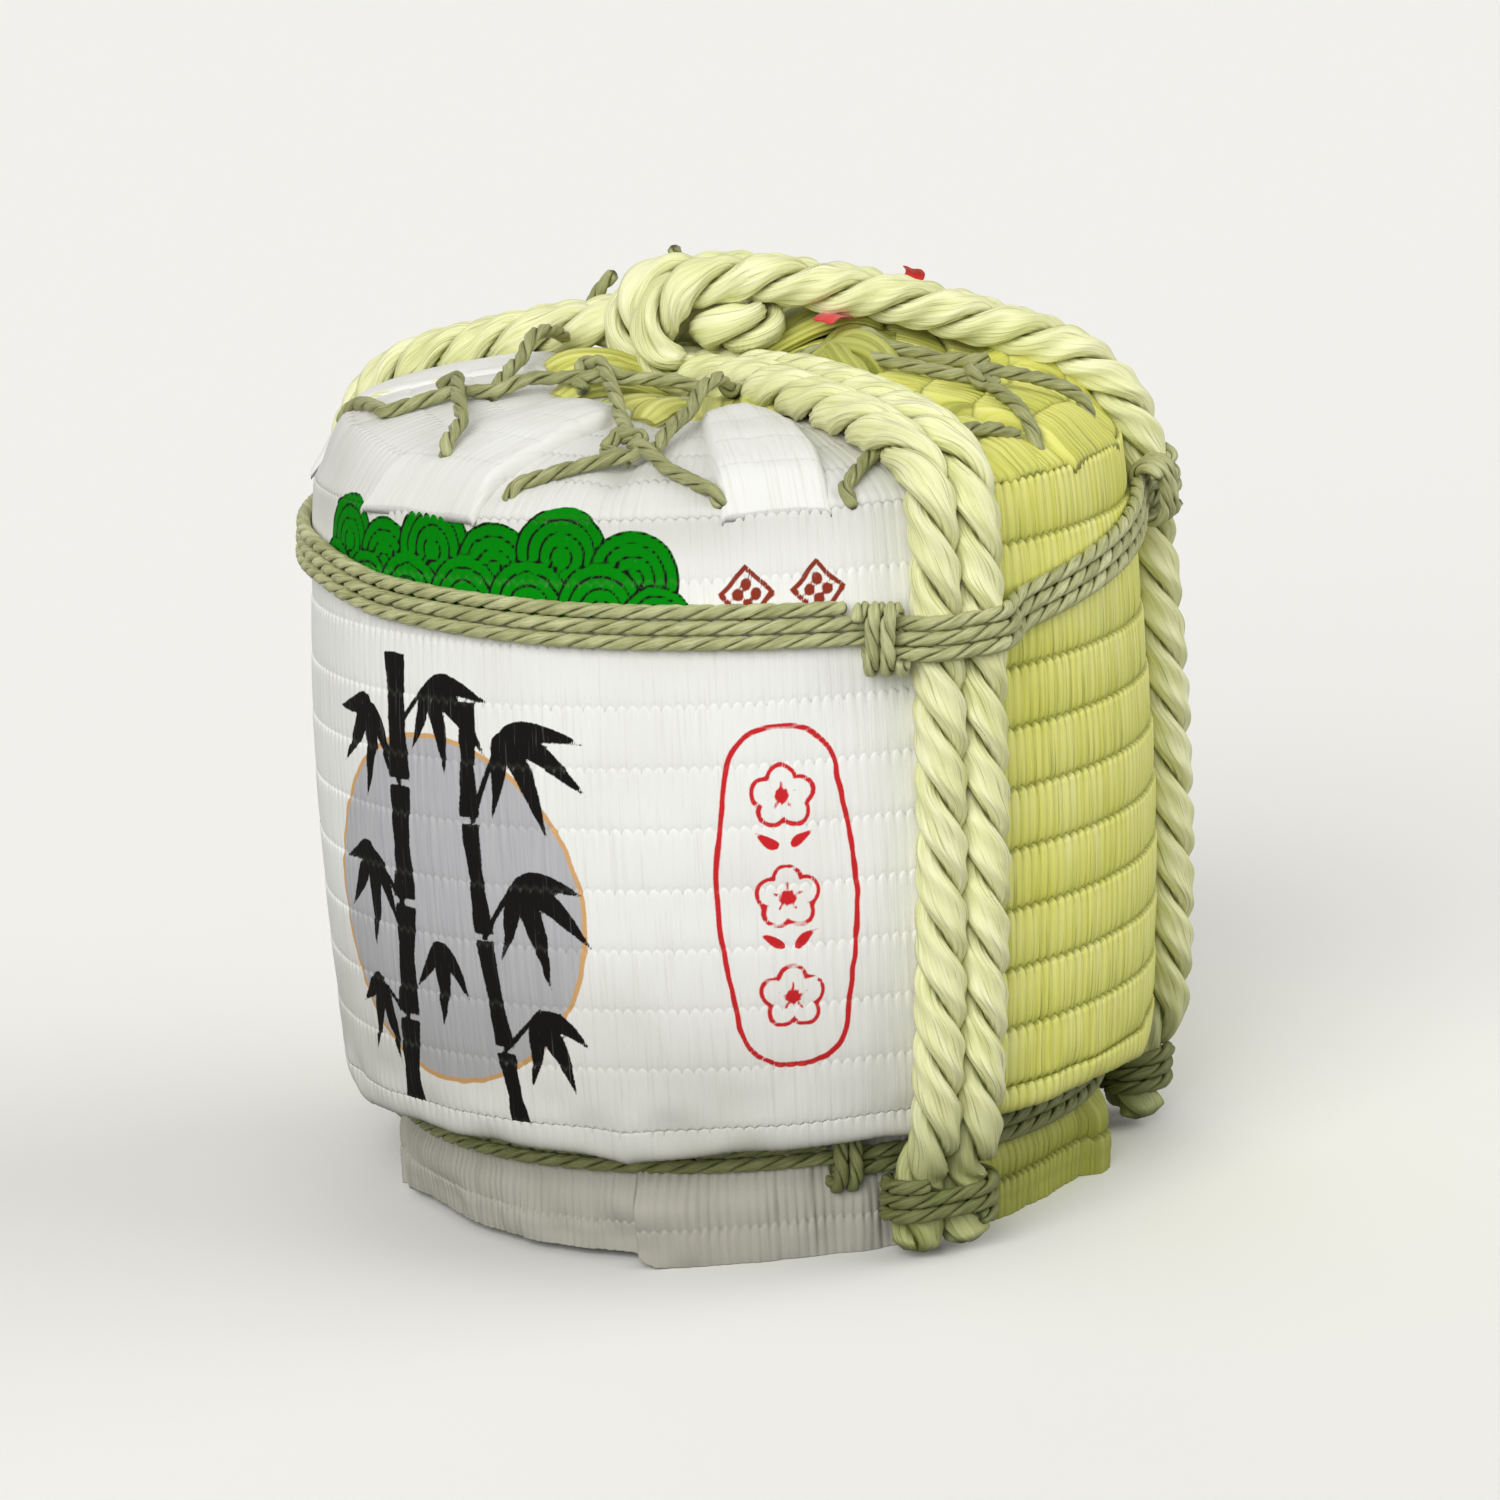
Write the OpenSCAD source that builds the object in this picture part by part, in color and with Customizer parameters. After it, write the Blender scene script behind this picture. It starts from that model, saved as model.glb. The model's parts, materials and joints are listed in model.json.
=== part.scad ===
// Wooden sake barrel in its straw-mat wrapping, bound with straw rope.
// Millimetres, +Z up, origin on the floor at the drum's axis. The middle of the
// printed front faces -Y. A direction "a" is counted from -Y towards +X.

/* [Straw mat] */
// Outer radius of the wrapped drum where it is fullest
drum_r = 305; // [290:1:370]
// How far the wall draws in at the lowest stitch line
foot_draw = 6.5; // [2:0.5:12]
// How far the wall draws in at the shoulder stitch line
shoulder_draw = 14; // [8:0.5:16]
// Height of the hem where the mat folds under
hem_z = 90; // [86:1:110]
// Height of the lowest stitch line above the hem
hem_rise = 19; // [15:1:30]
// Height of one row between two stitch lines
row_pitch = 42.3; // [40:0.1:52]
// How far a row stands proud between its stitch lines
row_swell = 2; // [0:0.25:4]
// Thickness of the straw mat
mat_t = 11; // [8:0.5:13]
// Outer radius of the gathered skirt that stands on the floor
skirt_r = 256; // [250:1:262]
// Depth of the groove that the foot rope pulls into the skirt
groove = 4; // [2:0.5:6]
// Radius of the hollow inside the folded ends on top
head_r = 88; // [80:1:100]
// How far a folded tongue stands above the mat under it
flap_rise = 9; // [5:0.5:14]

/* [Ropes] */
// Diameter of the thick binding ropes
thick_d = 33; // [26:0.5:33]
// Diameter of the thin binding rope
thin_d = 9.8; // [8:0.2:10]
// Distance between neighbouring turns of the thin rope
turn_pitch = 10.6; // [10.4:0.1:12]
// Height of the thin rope's waist band where it is lowest
waist_z = 448; // [420:1:460]

/* [Barrel] */
// Number of staves
staves = 16; // [12:1:20]
// Outer radius of the staves at the mouth
mouth_r = 270; // [240:1:270]
// Outer radius of the staves at the foot
foot_r = 224; // [200:1:226]
// Height of the staves
stave_h = 512; // [420:1:512]
// Thickness of the staves
stave_t = 20; // [16:1:26]
// Depth of the groove that holds the end boards
croze = 6; // [4:0.5:9]
// Thickness of the lid and bottom boards
board_t = 22; // [16:1:26]
// Drop of the lid below the mouth
lid_drop = 20; // [14:1:40]
// Height of the bottom boards above the foot
bottom_rise = 30; // [20:1:50]
// Thickness of the bamboo hoops
hoop_t = 7; // [5:0.5:7.5]
// Height of the bamboo hoops
hoop_h = 15; // [10:0.5:18]
// Thickness of the straw pad under the barrel
pad_t = 10; // [6:0.5:14]

/* [Hidden] */
$fn = 48;
gap = 0.4;
rows = 10;
low_z = hem_z + hem_rise;
top_z = low_z + rows*row_pitch;
full_z = low_z + 0.43*(top_z - low_z);
thick_r = thick_d/2;
thin_r = thin_d/2;
pair_x = thick_r + 0.3;
seam_gap = 0.1;
leg_a = -82;
leg_b = 67;
leg_c = 138.5;
hitch_back = 15.5;
over_leg = 4.8;
off_leg = 10.5;
// Sizes that the rope points below were chosen at; the points follow when these sizes change
chosen_shoulder = 291;
chosen_overhang = 42.5;
chosen_rope = 33;
core_r = 100;
slim = (thick_d - chosen_rope)/2;
plump = thick_d/chosen_rope;

// Rise of the top above the shoulder, against the distance in from it
dome_rise = [[0, 0], [3, 4], [8, 7], [19, 13.5], [41, 21.5], [91, 33], [141, 39], [186, 42], [203, 42.5]];
// Free valleys of the folded top: direction and half spread of the lacing
valleys = [[22.5, 15], [-41, 19], [105, 11], [175, 12], [215, 12], [255, 12]];
// Folded tongues: direction and half width at the shoulder
front_flaps = [[-7.5, 50], [46.5, 40], [-70, 40]];
rear_flaps = [[88, 24], [121, 20], [157.5, 24], [195, 34], [235, 34]];
// Height of the waist band above its lowest point, against direction
waist_lift = [[-82, 50], [-30, 34], [-14, 22], [17, 11], [45, 4], [60, 0], [76, 0], [108, 24],
    [138, 50], [180, 54], [230, 54], [278, 50]];
// A leg's foot below the hem: radius beyond the skirt and height
foot_route = [[56.5, 90], [51, 80], [44, 72], [38.5, 65], [35, 57], [33.5, 48], [33, 38], [33, 28], [35, 16], [37, 6]];
// How far each height of a leg's foot follows the overhang of the drum past the skirt
foot_follow = [[48, 0], [57, 0.2], [65, 0.55], [72, 0.85], [80, 0.99], [90, 1]];
// A leg's way over the shoulder: radius beyond the shoulder and rise above it
shoulder_route = [[23.5, -42], [20.5, -15], [15.5, 4], [7, 19]];
// From the shoulder to the knot, radius and rise above the shoulder line
b_top = [[281, 32], [256, 40.5], [228, 46.5], [190, 52], [150, 56.5], [115, 59], [88, 59.5]];
c_top = [[286, 35], [262, 54], [230, 68], [180, 86], [120, 105], [80, 114]];
a_top = [[288, 35], [265, 53], [235, 66], [190, 76]];
// The knot's points: X and Y as the camera sees them, and rise above the shoulder line
knot_turn = 38.5;
near_knot = [[49, -8.5, 123.2], [35, -10.9, 125.1], [20, -13.4, 125.2], [-3, -17, 124.8], [-20, -18, 119.5], [-33, -19, 108],
    [-40, -19.5, 93], [-39, -20, 78], [-32, -21, 66], [-22, -23.5, 59], [-12, -29, 58], [-3, -38, 58],
    [6, -52, 58], [15, -68, 58.5]];
far_knot = [[41, 24.3, 122], [14, 19.4, 124.8], [-8, 16.8, 124.8], [-26, 16.2, 124.8], [-42.7, 15.6, 120.3],
    [-54.9, 15, 108.1], [-59.4, 14.8, 91.4], [-54.9, 14.5, 74.7], [-42.7, 14, 62.5], [-26, 12, 58],
    [-8, 8, 58], [10, -2, 58], [25, -17, 58], [37, -35, 58], [47, -53, 58.5]];
bight = [[-120, 93, 84], [-84, 86, 88.6], [-50, 83.5, 91.4], [-20, 82.5, 91.4], [6, 76, 91.4], [26, 60, 89],
    [36, 38, 87.5], [37.5, 14, 88.5], [37.5, -4, 91.4], [35.2, -12.8, 91.4], [28.8, -19.2, 91.4], [20, -21.5, 91.4],
    [11.2, -19.2, 91.4], [4.8, -12.8, 91.4], [2.5, -4, 91.4], [2, 14, 91.4], [-4, 34, 91.4], [-18, 46.5, 91.4],
    [-38, 49.8, 91.4], [-62, 50, 91], [-92, 50.5, 89], [-131, 58, 85]];
tail_1 = [[-14, 104.5, 54.2], [-15, 104.3, 75], [-18, 104, 108], [-24, 100, 139]];
tail_2 = [[-100, 112, 40], [-94, 110.3, 80], [-82, 104, 106], [-68, 99, 122]];

// Shape of the wrapped drum

function wall_r(z) = z < full_z
    ? drum_r - foot_draw*pow((full_z - z)/(full_z - low_z), 2)
    : drum_r - shoulder_draw*pow((z - full_z)/(top_z - full_z), 2);
shoulder_r = wall_r(top_z);
groove_r = skirt_r - groove;
function dome_z(r) = top_z + lookup(shoulder_r - r, dome_rise);

function row_points(k) = [
    for (f = [[0, -row_swell/2], [0.2, row_swell/2], [0.8, row_swell/2]])
        [wall_r(low_z + (k + f[0])*row_pitch) + f[1], low_z + (k + f[0])*row_pitch]];

function mat_outside() = concat(
    [[skirt_r - 2, 0], [skirt_r, 5], [skirt_r + 1, 30], [skirt_r, 48], [groove_r, 54], [groove_r, hem_z - 3],
        [skirt_r + 8, hem_z - 2], [wall_r(low_z) - 7, hem_z], [wall_r(low_z) - 2, hem_z + 6]],
    [for (k = [0:rows - 1], p = row_points(k)) p],
    [[shoulder_r - row_swell/2, top_z]],
    [for (d = dome_rise) if (d[0] > 0 && shoulder_r - d[0] > head_r + 1) [shoulder_r - d[0], top_z + d[1]]],
    [[head_r, dome_z(head_r)]]);

function mat_inside() = concat(
    [[head_r, dome_z(head_r) - mat_t]],
    [for (i = [len(dome_rise) - 1:-1:1]) let (d = dome_rise[i])
        if (d[0] > 8 && shoulder_r - d[0] > head_r + 1) [shoulder_r - d[0], top_z + d[1] - mat_t]],
    [for (k = [rows:-1:0]) [wall_r(low_z + k*row_pitch) - mat_t - 1, low_z + k*row_pitch - (k == rows ? 4 : 0)]],
    [[wall_r(low_z) - mat_t - 3, hem_z + mat_t], [groove_r - mat_t + 5, hem_z + mat_t - 4],
        [groove_r - mat_t, hem_z], [groove_r - mat_t, 54], [skirt_r - mat_t, 48], [skirt_r - mat_t, 0]]);

module sector(from, to) {
    rotate([0, 0, from - 90])
    rotate_extrude(angle = to - from)
    children();
}

module flap(a, w) {
    ridge = [for (r = [shoulder_r - 25, shoulder_r - 41, shoulder_r - 91, shoulder_r - 141, head_r + 8]) r];
    intersection() {
        rotate_extrude()
        polygon(concat(
            [for (r = ridge) [r, dome_z(r) - 3]],
            [for (i = [len(ridge) - 1:-1:0])
                [ridge[i], dome_z(ridge[i]) + flap_rise*(i == 0 ? 0.4 : i == 4 ? 1.3 : 1)]]));
        rotate([0, 0, a])
        linear_extrude(height = top_z + 200)
        polygon([[-w, -shoulder_r], [w, -shoulder_r], [0.45*w, -head_r], [-0.45*w, -head_r]]);
    }
}

module flaps(list) {
    difference() {
        for (f = list) flap(f[0], f[1]);
        for (a = [leg_a, leg_b + 2, leg_c])
            rotate([0, 0, a])
            translate([-thick_d - 2, -shoulder_r, 0])
            cube([2*thick_d + 4, shoulder_r, top_z + 200]);
    }
}

module mat_front() {
    color([0.93, 0.93, 0.90]) union() {
        sector(leg_a + seam_gap, leg_b - seam_gap)
        polygon(concat(mat_outside(), mat_inside()));
        flaps(front_flaps);
    }
}

module mat_rear() {
    color([0.78, 0.80, 0.42]) union() {
        sector(leg_b + seam_gap, leg_a + 360 - seam_gap)
        polygon(concat(mat_outside(), mat_inside()));
        flaps(rear_flaps);
    }
}

// Cedar barrel

slope = (mouth_r - foot_r)/stave_h;
function barrel_r(z) = foot_r + slope*(z - pad_t);
mouth_z = pad_t + stave_h;
lid_z = mouth_z - lid_drop - board_t;
bottom_z = pad_t + bottom_rise;
lid_edge = barrel_r(lid_z) - stave_t + croze - gap;
bottom_edge = barrel_r(bottom_z) - stave_t + croze - gap;
tap_z = bottom_z + board_t + 45;
function boards_y(edge) = [-edge - 1, -0.48*edge, 0.04*edge, 0.5*edge, edge + 1];

module croze_cut(z) {
    polygon([[0, z], [barrel_r(z) - stave_t + croze, z],
        [barrel_r(z) - stave_t + croze, z + board_t + gap], [0, z + board_t + gap]]);
}

module stave(i) {
    step = 360/staves;
    color(i % 2 ? [0.80, 0.62, 0.42] : [0.76, 0.57, 0.38])
    difference() {
        sector((i - 1.5)*step + 0.015, (i - 0.5)*step - 0.015)
        difference() {
            polygon([[foot_r - stave_t, pad_t], [foot_r, pad_t], [mouth_r, mouth_z], [mouth_r - stave_t, mouth_z]]);
            croze_cut(lid_z);
            croze_cut(bottom_z);
        }
        if (i == 1)
            translate([0, 0, tap_z])
            rotate([90, 0, 0])
            cylinder(h = 400, r = 13);
    }
}

module board(edge, z, i, bung) {
    y = boards_y(edge);
    color([0.82, 0.66, 0.46])
    difference() {
        intersection() {
            translate([0, 0, z])
            cylinder(h = board_t, r = edge, $fn = 96);
            translate([-edge - 1, y[i] + 0.05, z - 1])
            cube([2*edge + 2, y[i + 1] - y[i] - 0.1, board_t + 2]);
        }
        for (j = [1:3], x = [-0.4*edge, 0.4*edge])
            translate([x, y[j], z + board_t/2])
            rotate([90, 0, 0])
            cylinder(h = 40, r = 3.2, center = true);
        if (bung)
            translate([0.3*edge, 0.25*edge, z - 1])
            cylinder(h = board_t + 2, r = 15);
    }
}

module dowels(edge, z) {
    y = boards_y(edge);
    color([0.72, 0.66, 0.40])
    for (j = [1:3], x = [-0.4*edge, 0.4*edge])
        translate([x, y[j], z + board_t/2])
        rotate([90, 0, 0])
        cylinder(h = 39.6, r = 3.1, center = true);
}

module lid_bung() {
    color([0.70, 0.50, 0.32])
    translate([0.3*lid_edge, 0.25*lid_edge, lid_z + 2])
    cylinder(h = board_t + 1, r = 14.8);
}

module tap_bung() {
    color([0.70, 0.50, 0.32])
    translate([0, 1 - barrel_r(tap_z) + stave_t, tap_z])
    rotate([90, 0, 0])
    cylinder(h = stave_t + 3, r = 12.8);
}

module hoop(z) {
    r = barrel_r(z) + 0.1;
    color([0.80, 0.74, 0.45])
    rotate_extrude($fn = 96)
    polygon([[r, z], [r + slope*hoop_h, z + hoop_h], [r + slope*hoop_h + 0.6*hoop_t, z + hoop_h],
        [r + hoop_t, z + 0.72*hoop_h], [r + hoop_t, z + 0.28*hoop_h], [r + 0.6*hoop_t, z]]);
}

// Straw fillings

module bottom_pad() {
    color([0.80, 0.76, 0.48])
    cylinder(h = pad_t, r = skirt_r - mat_t - gap, $fn = 96);
}

module side_packing() {
    base = hem_z + mat_t + gap;
    head = top_z - 1.7*row_pitch;
    color([0.80, 0.76, 0.48])
    rotate_extrude($fn = 96)
    polygon(concat(
        [[barrel_r(base) + hoop_t + 1, base], [barrel_r(head) + hoop_t + 1, head]],
        [for (z = [head:-row_pitch:base + 10]) [wall_r(z) - mat_t - 2.5, z]],
        [[wall_r(base) - mat_t - 6, base]]));
}

module head_pad() {
    color([0.80, 0.76, 0.48])
    rotate_extrude($fn = 96)
    polygon(concat(
        [[0, lid_z + board_t + 4], [mouth_r - stave_t - 3, lid_z + board_t + 4],
            [mouth_r - stave_t - 3, mouth_z + gap], [shoulder_r - 19, mouth_z + gap]],
        [for (d = dome_rise) if (d[0] > 8 && shoulder_r - d[0] > head_r + 1)
            [shoulder_r - d[0], top_z + d[1] - mat_t - 0.6]],
        [[head_r, dome_z(head_r) - mat_t - 0.6], [head_r - 8, dome_z(head_r) - mat_t - 14],
            [0, dome_z(head_r) - mat_t - 17]]));
}

// Swept tubes

function unit(v) = v/norm(v);
function tangents(p) = [for (i = [0:len(p) - 1])
    i == 0 ? unit(p[1] - p[0]) : i == len(p) - 1 ? unit(p[i] - p[i - 1])
    : unit(unit(p[i + 1] - p[i]) + unit(p[i] - p[i - 1]))];
function square_to(n, t) = unit(n - (n*t)*t);
function carried(t, n0) = [for (i = 0, n = square_to(n0, t[0]); i < len(t);
    i = i + 1, n = i < len(t) ? square_to(n, t[i]) : n) n];

module tube(p, r, sides, n0 = [0.3, 0.1, 1]) {
    t = tangents(p);
    n = carried(t, n0);
    last = (len(p) - 1)*sides;
    polyhedron(
        points = [for (i = [0:len(p) - 1], k = [0:sides - 1])
            p[i] + r*(cos(360*k/sides)*n[i] + sin(360*k/sides)*cross(t[i], n[i]))],
        faces = concat(
            [for (i = [0:len(p) - 2], k = [0:sides - 1]) let (q = (k + 1) % sides)
                [i*sides + k, (i + 1)*sides + q, i*sides + q]],
            [for (i = [0:len(p) - 2], k = [0:sides - 1]) let (q = (k + 1) % sides)
                [i*sides + k, (i + 1)*sides + k, (i + 1)*sides + q]],
            [for (k = [1:sides - 2]) [0, k, k + 1]],
            [for (k = [1:sides - 2]) [last, last + k + 1, last + k]]));
}

// A point at direction a, radius r and height z, moved sideways by x
function at(a, r, z, x = 0) = [r*sin(a) + x*cos(a), -r*cos(a) + x*sin(a), z];
function turned(q) = [q[0]*cos(knot_turn) - q[1]*sin(knot_turn),
    q[0]*sin(knot_turn) + q[1]*cos(knot_turn), top_z + q[2]];
function thick_h(h) = h > 58 ? 58 + slim + (h - 58)*plump : h + slim;
function dome_change(r_new, r_old) = lookup(shoulder_r - r_new, dome_rise) - lookup(chosen_shoulder - r_old, dome_rise);
function reversed(p) = [for (i = [len(p) - 1:-1:0]) p[i]];

// Thick ropes

wall_clear = row_swell/2 + thick_r + gap;
function lean(a, z) = a == leg_b ? leg_b - 3 + 5*z/top_z : a;
function foot_r(z) = skirt_r + lookup(z, foot_r_at) + slim
    + (wall_r(low_z) - skirt_r - chosen_overhang)*lookup(z, foot_follow);
function foot_part(a, x) = [for (i = [len(foot_route) - 1:-1:0]) let (q = foot_route[i])
    at(lean(a, q[1]), foot_r(q[1]), q[1], x*(i > 7 ? 1 + 0.15*(i - 7) : 1))];
function wall_part(a, x) = [for (f = [0.05, 0.13, 0.25, 0.37, 0.5, 0.63, 0.76, 0.84])
    let (z = low_z + f*(top_z - low_z)) at(lean(a, z), wall_r(z) + wall_clear, z, x)];
function shoulder_part(a, x) = [for (q = shoulder_route)
    at(lean(a, top_z + q[1]), shoulder_r + q[0] + slim, top_z + q[1] + (q[1] > 0 ? 0.7*slim : 0), x)];
function wider(r) = r > core_r ? core_r + (r - core_r)*(shoulder_r - core_r)/(chosen_shoulder - core_r) : r;
function top_part(a, x, list) = [for (q = list) let (r = wider(q[0]))
    at(lean(a, top_z), r, top_z + thick_h(q[1]) + dome_change(r, q[0]), x)];
function leg(a, x, list) = concat(foot_part(a, x), wall_part(a, x), shoulder_part(a, x), top_part(a, x, list));
function knot_part(list) = [for (q = list) turned([q[0]*plump, q[1]*plump, thick_h(q[2])])];
function tail_part(list) = [for (q = list) let (r = norm([q[0], q[1]]))
    turned([q[0], q[1], 39 + (q[2] - 39)*plump + dome_change(r, r)])];

module thick_rope(p) {
    color([0.86, 0.87, 0.65])
    tube(p, thick_r, 10);
}

module rope_near() {
    thick_rope(concat(leg(leg_c, -pair_x, c_top), knot_part(near_knot), reversed(leg(leg_b, -pair_x, b_top))));
}

module rope_far() {
    thick_rope(concat(leg(leg_c, pair_x, c_top), knot_part(far_knot), reversed(leg(leg_b, pair_x, b_top))));
}

module rope_bight() {
    thick_rope(concat(leg(leg_a, -pair_x, a_top), knot_part(bight), reversed(leg(leg_a, pair_x, a_top))));
}

// Thin rope windings. Each prints the least gap to itself, measured on its points.

function least_gap(p, r, skip) = min([for (i = [0:len(p) - 1 - skip], j = [i + skip:len(p) - 1])
    norm(p[i] - p[j])]) - 2*r;

module winding(name, p, skip) {
    echo(str(name, " least gap mm: ", least_gap(p, thin_r, skip)));
    color([0.59, 0.60, 0.40])
    tube(p, thin_r, 6);
}

function leg_rings(a) = [a - hitch_back, a - over_leg, a + over_leg, a + off_leg];
band_b = lean(leg_b, waist_z);
band_rings = concat(leg_rings(band_b), [93, 108], leg_rings(leg_c), [for (a = [164:15:254]) a],
    leg_rings(leg_a + 360), [for (a = [303:15:393]) a, 405]);
// Directions of three turns: the first starts under hitch B, the last stops in front of it
band_turns = concat([for (t = [0:2], a = band_rings) if (t > 0 || a > band_b - over_leg - 0.1) a + 360*t],
    [band_b - hitch_back - 0.3 + 360*3]);
function near_leg(a) = min([for (l = [leg_a, band_b, leg_c]) abs((a - l + 540) % 360 - 180)]);
function waist_height(a) = let (w = (a + 82) % 360 - 82)
    waist_z + lookup(w > 278 ? w - 360 : w, waist_lift);
function band_r(a, z) = near_leg(a) < over_leg + 0.5
    ? (wall_r(z) + row_swell/2 + 2*thick_r + thin_r + 2*gap)/cos(over_leg)
    : (wall_r(z) + row_swell/2 + thin_r + gap)/cos(8);
function band_point(a, z) = at(a, band_r(a, z), z);
function band_run(a) = band_point(a, waist_height(a) + turn_pitch*((a - 45)/360 - 1.5));
function with_ends(p) = concat([p[0] + thin_d*unit(p[0] - p[1])], p,
    [p[len(p) - 1] + thin_d*unit(p[len(p) - 1] - p[len(p) - 2])]);

module waist_band() {
    first = band_run(band_b - over_leg);
    winding("waist_band", with_ends(concat([first + 0.55*(band_run(band_b - hitch_back) - first)],
        [for (a = band_turns) band_run(a)])), len(band_rings) - 2);
}

// A turn round a long bundle: across by u, along by v
function round_bundle(half, r, a) = [r*cos(a), r*sin(a) + (sin(a) > 0 ? half : -half)];
bundle_r = 2*thin_r + 0.7;

module waist_hitch(name, a) {
    shift = turn_pitch*(((a - 45 + 360) % 360)/360 - 0.5);
    p2 = band_point(a - hitch_back, waist_height(a - hitch_back) + shift);
    p1 = band_point(a - over_leg, waist_height(a - over_leg) + shift);
    d = unit(p1 - p2);
    up = square_to([0, 0, 1], d);
    out = cross(d, up);
    winding(name, with_ends([for (i = [0:71]) let (u = round_bundle(turn_pitch, bundle_r/cos(7.5), 7.5 + 15*i))
        p2 + (14 + turn_pitch*i/24)*d + u[0]*out + u[1]*up]), 20);
}

module foot_band() {
    winding("foot_band", with_ends([for (i = [0:48]) at(50 + 15*i, (groove_r + thin_r + gap)/cos(7.5),
        hem_z - 30 + turn_pitch*i/24)]), 22);
}

foot_r_at = [for (i = [len(foot_route) - 1:-1:0]) [foot_route[i][1], foot_route[i][0]]];

module foot_whipping(name, a) {
    winding(name, with_ends([for (i = [0:71]) let (z = 26.5 + turn_pitch*i/24,
        u = round_bundle(pair_x, (thick_r + thin_r + 1.8)/cos(7.5), 7.5 + 15*i))
        at(lean(a, z), foot_r(z) + u[0], z, u[1])]), 20);
}

// Thin lacing over the folded top

function on_top(a, r, h = 0) = at(a, r, dome_z(r) + thin_r + gap + h);
arm_r = shoulder_r - 26;
apex_r = shoulder_r - 91;

module lacing_piece(p) {
    tube(p, thin_r, 6);
}

module head_lacing() {
    color([0.59, 0.60, 0.40]) {
        for (v = valleys) {
            lacing_piece(concat(
                [for (f = [1:-0.2:0.2]) on_top(v[0] - v[1]*f, arm_r + (apex_r - arm_r)*(1 - f), 0.3)],
                [on_top(v[0] - 0.8, apex_r - 2, 0.3), on_top(v[0] + 0.8, apex_r - 2, 0.3)],
                [for (f = [0.2:0.2:1]) on_top(v[0] + v[1]*f, arm_r + (apex_r - arm_r)*(1 - f), 0.3)]));
            lacing_piece(concat(
                [for (f = [0:0.25:1]) on_top(v[0], apex_r - 13 - f*(apex_r - 13 - head_r - 8), 0.6)],
                [on_top(v[0], head_r + 1, 0.6)], [at(v[0], head_r - 5, dome_z(head_r) + 1.4)]));
        }
        for (l = [lean(leg_b, top_z), leg_c], s = [-1, 1])
            lacing_piece([for (f = [0:0.5:1]) let (x = s*(54 - 14*f), r = arm_r - 6 - 26*f)
                at(l, r, dome_z(norm([r, x])) + thin_r + gap + 0.4, x)]);
        lacing_piece([for (i = [0:40]) at(9*i*0.99, (head_r - thin_r - gap), dome_z(head_r) - 9)]);
        lacing_piece(tail_part(tail_1));
        lacing_piece(tail_part(tail_2));
    }
}

// The ribbon under the two ropes: its middle's radius, the ropes' height there, its slant across them and its lean
ribbon_r = 108;
ribbon_h = 107.7;
ribbon_slant = 40;
ribbon_tilt = 14;

module red_ribbon() {
    color([0.82, 0.12, 0.14])
    rotate([0, 0, leg_c])
    translate([0, -ribbon_r, top_z + thick_h(ribbon_h) - thick_r - 1.2])
    rotate([ribbon_tilt, 0, 0])
    rotate([0, 0, -ribbon_slant])
    rotate([90, 0, 0])
    linear_extrude(height = 16, center = true)
    polygon([[-50, -4], [-40, 0], [50, 0], [55, 6], [56.2, 24], [57.4, 24], [56.2, 5.6], [51, -1.2], [-40, -1.2],
        [-50, -5.4]]);
}

stave(1);  // stave_01
stave(2);  // stave_02
stave(3);  // stave_03
stave(4);  // stave_04
stave(5);  // stave_05
stave(6);  // stave_06
stave(7);  // stave_07
stave(8);  // stave_08
stave(9);  // stave_09
stave(10);  // stave_10
stave(11);  // stave_11
stave(12);  // stave_12
stave(13);  // stave_13
stave(14);  // stave_14
stave(15);  // stave_15
stave(16);  // stave_16
board(lid_edge, lid_z, 0, false);  // lid_board_1
board(lid_edge, lid_z, 1, false);  // lid_board_2
board(lid_edge, lid_z, 2, true);  // lid_board_3
board(lid_edge, lid_z, 3, false);  // lid_board_4
dowels(lid_edge, lid_z);  // lid_dowels
lid_bung();
board(bottom_edge, bottom_z, 0, false);  // bottom_board_1
board(bottom_edge, bottom_z, 1, false);  // bottom_board_2
board(bottom_edge, bottom_z, 2, false);  // bottom_board_3
board(bottom_edge, bottom_z, 3, false);  // bottom_board_4
dowels(bottom_edge, bottom_z);  // bottom_dowels
tap_bung();
hoop(mouth_z - 22);  // hoop_mouth
hoop(mouth_z - 44);  // hoop_neck
hoop(pad_t + 0.63*stave_h);  // hoop_upper
hoop(pad_t + 0.57*stave_h);  // hoop_middle
hoop(pad_t + 0.33*stave_h);  // hoop_lower
hoop(bottom_z + board_t);  // hoop_ankle
hoop(pad_t + 10);  // hoop_foot
bottom_pad();
side_packing();
head_pad();
mat_front();
mat_rear();
rope_near();
rope_far();
rope_bight();
waist_band();
waist_hitch("waist_hitch_a", leg_a);  // waist_hitch_a
waist_hitch("waist_hitch_b", band_b);  // waist_hitch_b
waist_hitch("waist_hitch_c", leg_c);  // waist_hitch_c
foot_band();
foot_whipping("foot_whipping_a", leg_a);  // foot_whipping_a
foot_whipping("foot_whipping_b", leg_b);  // foot_whipping_b
foot_whipping("foot_whipping_c", leg_c);  // foot_whipping_c
head_lacing();
red_ribbon();
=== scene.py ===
import json
import math

import bpy
import numpy as np
from mathutils import Matrix, Vector


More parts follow.
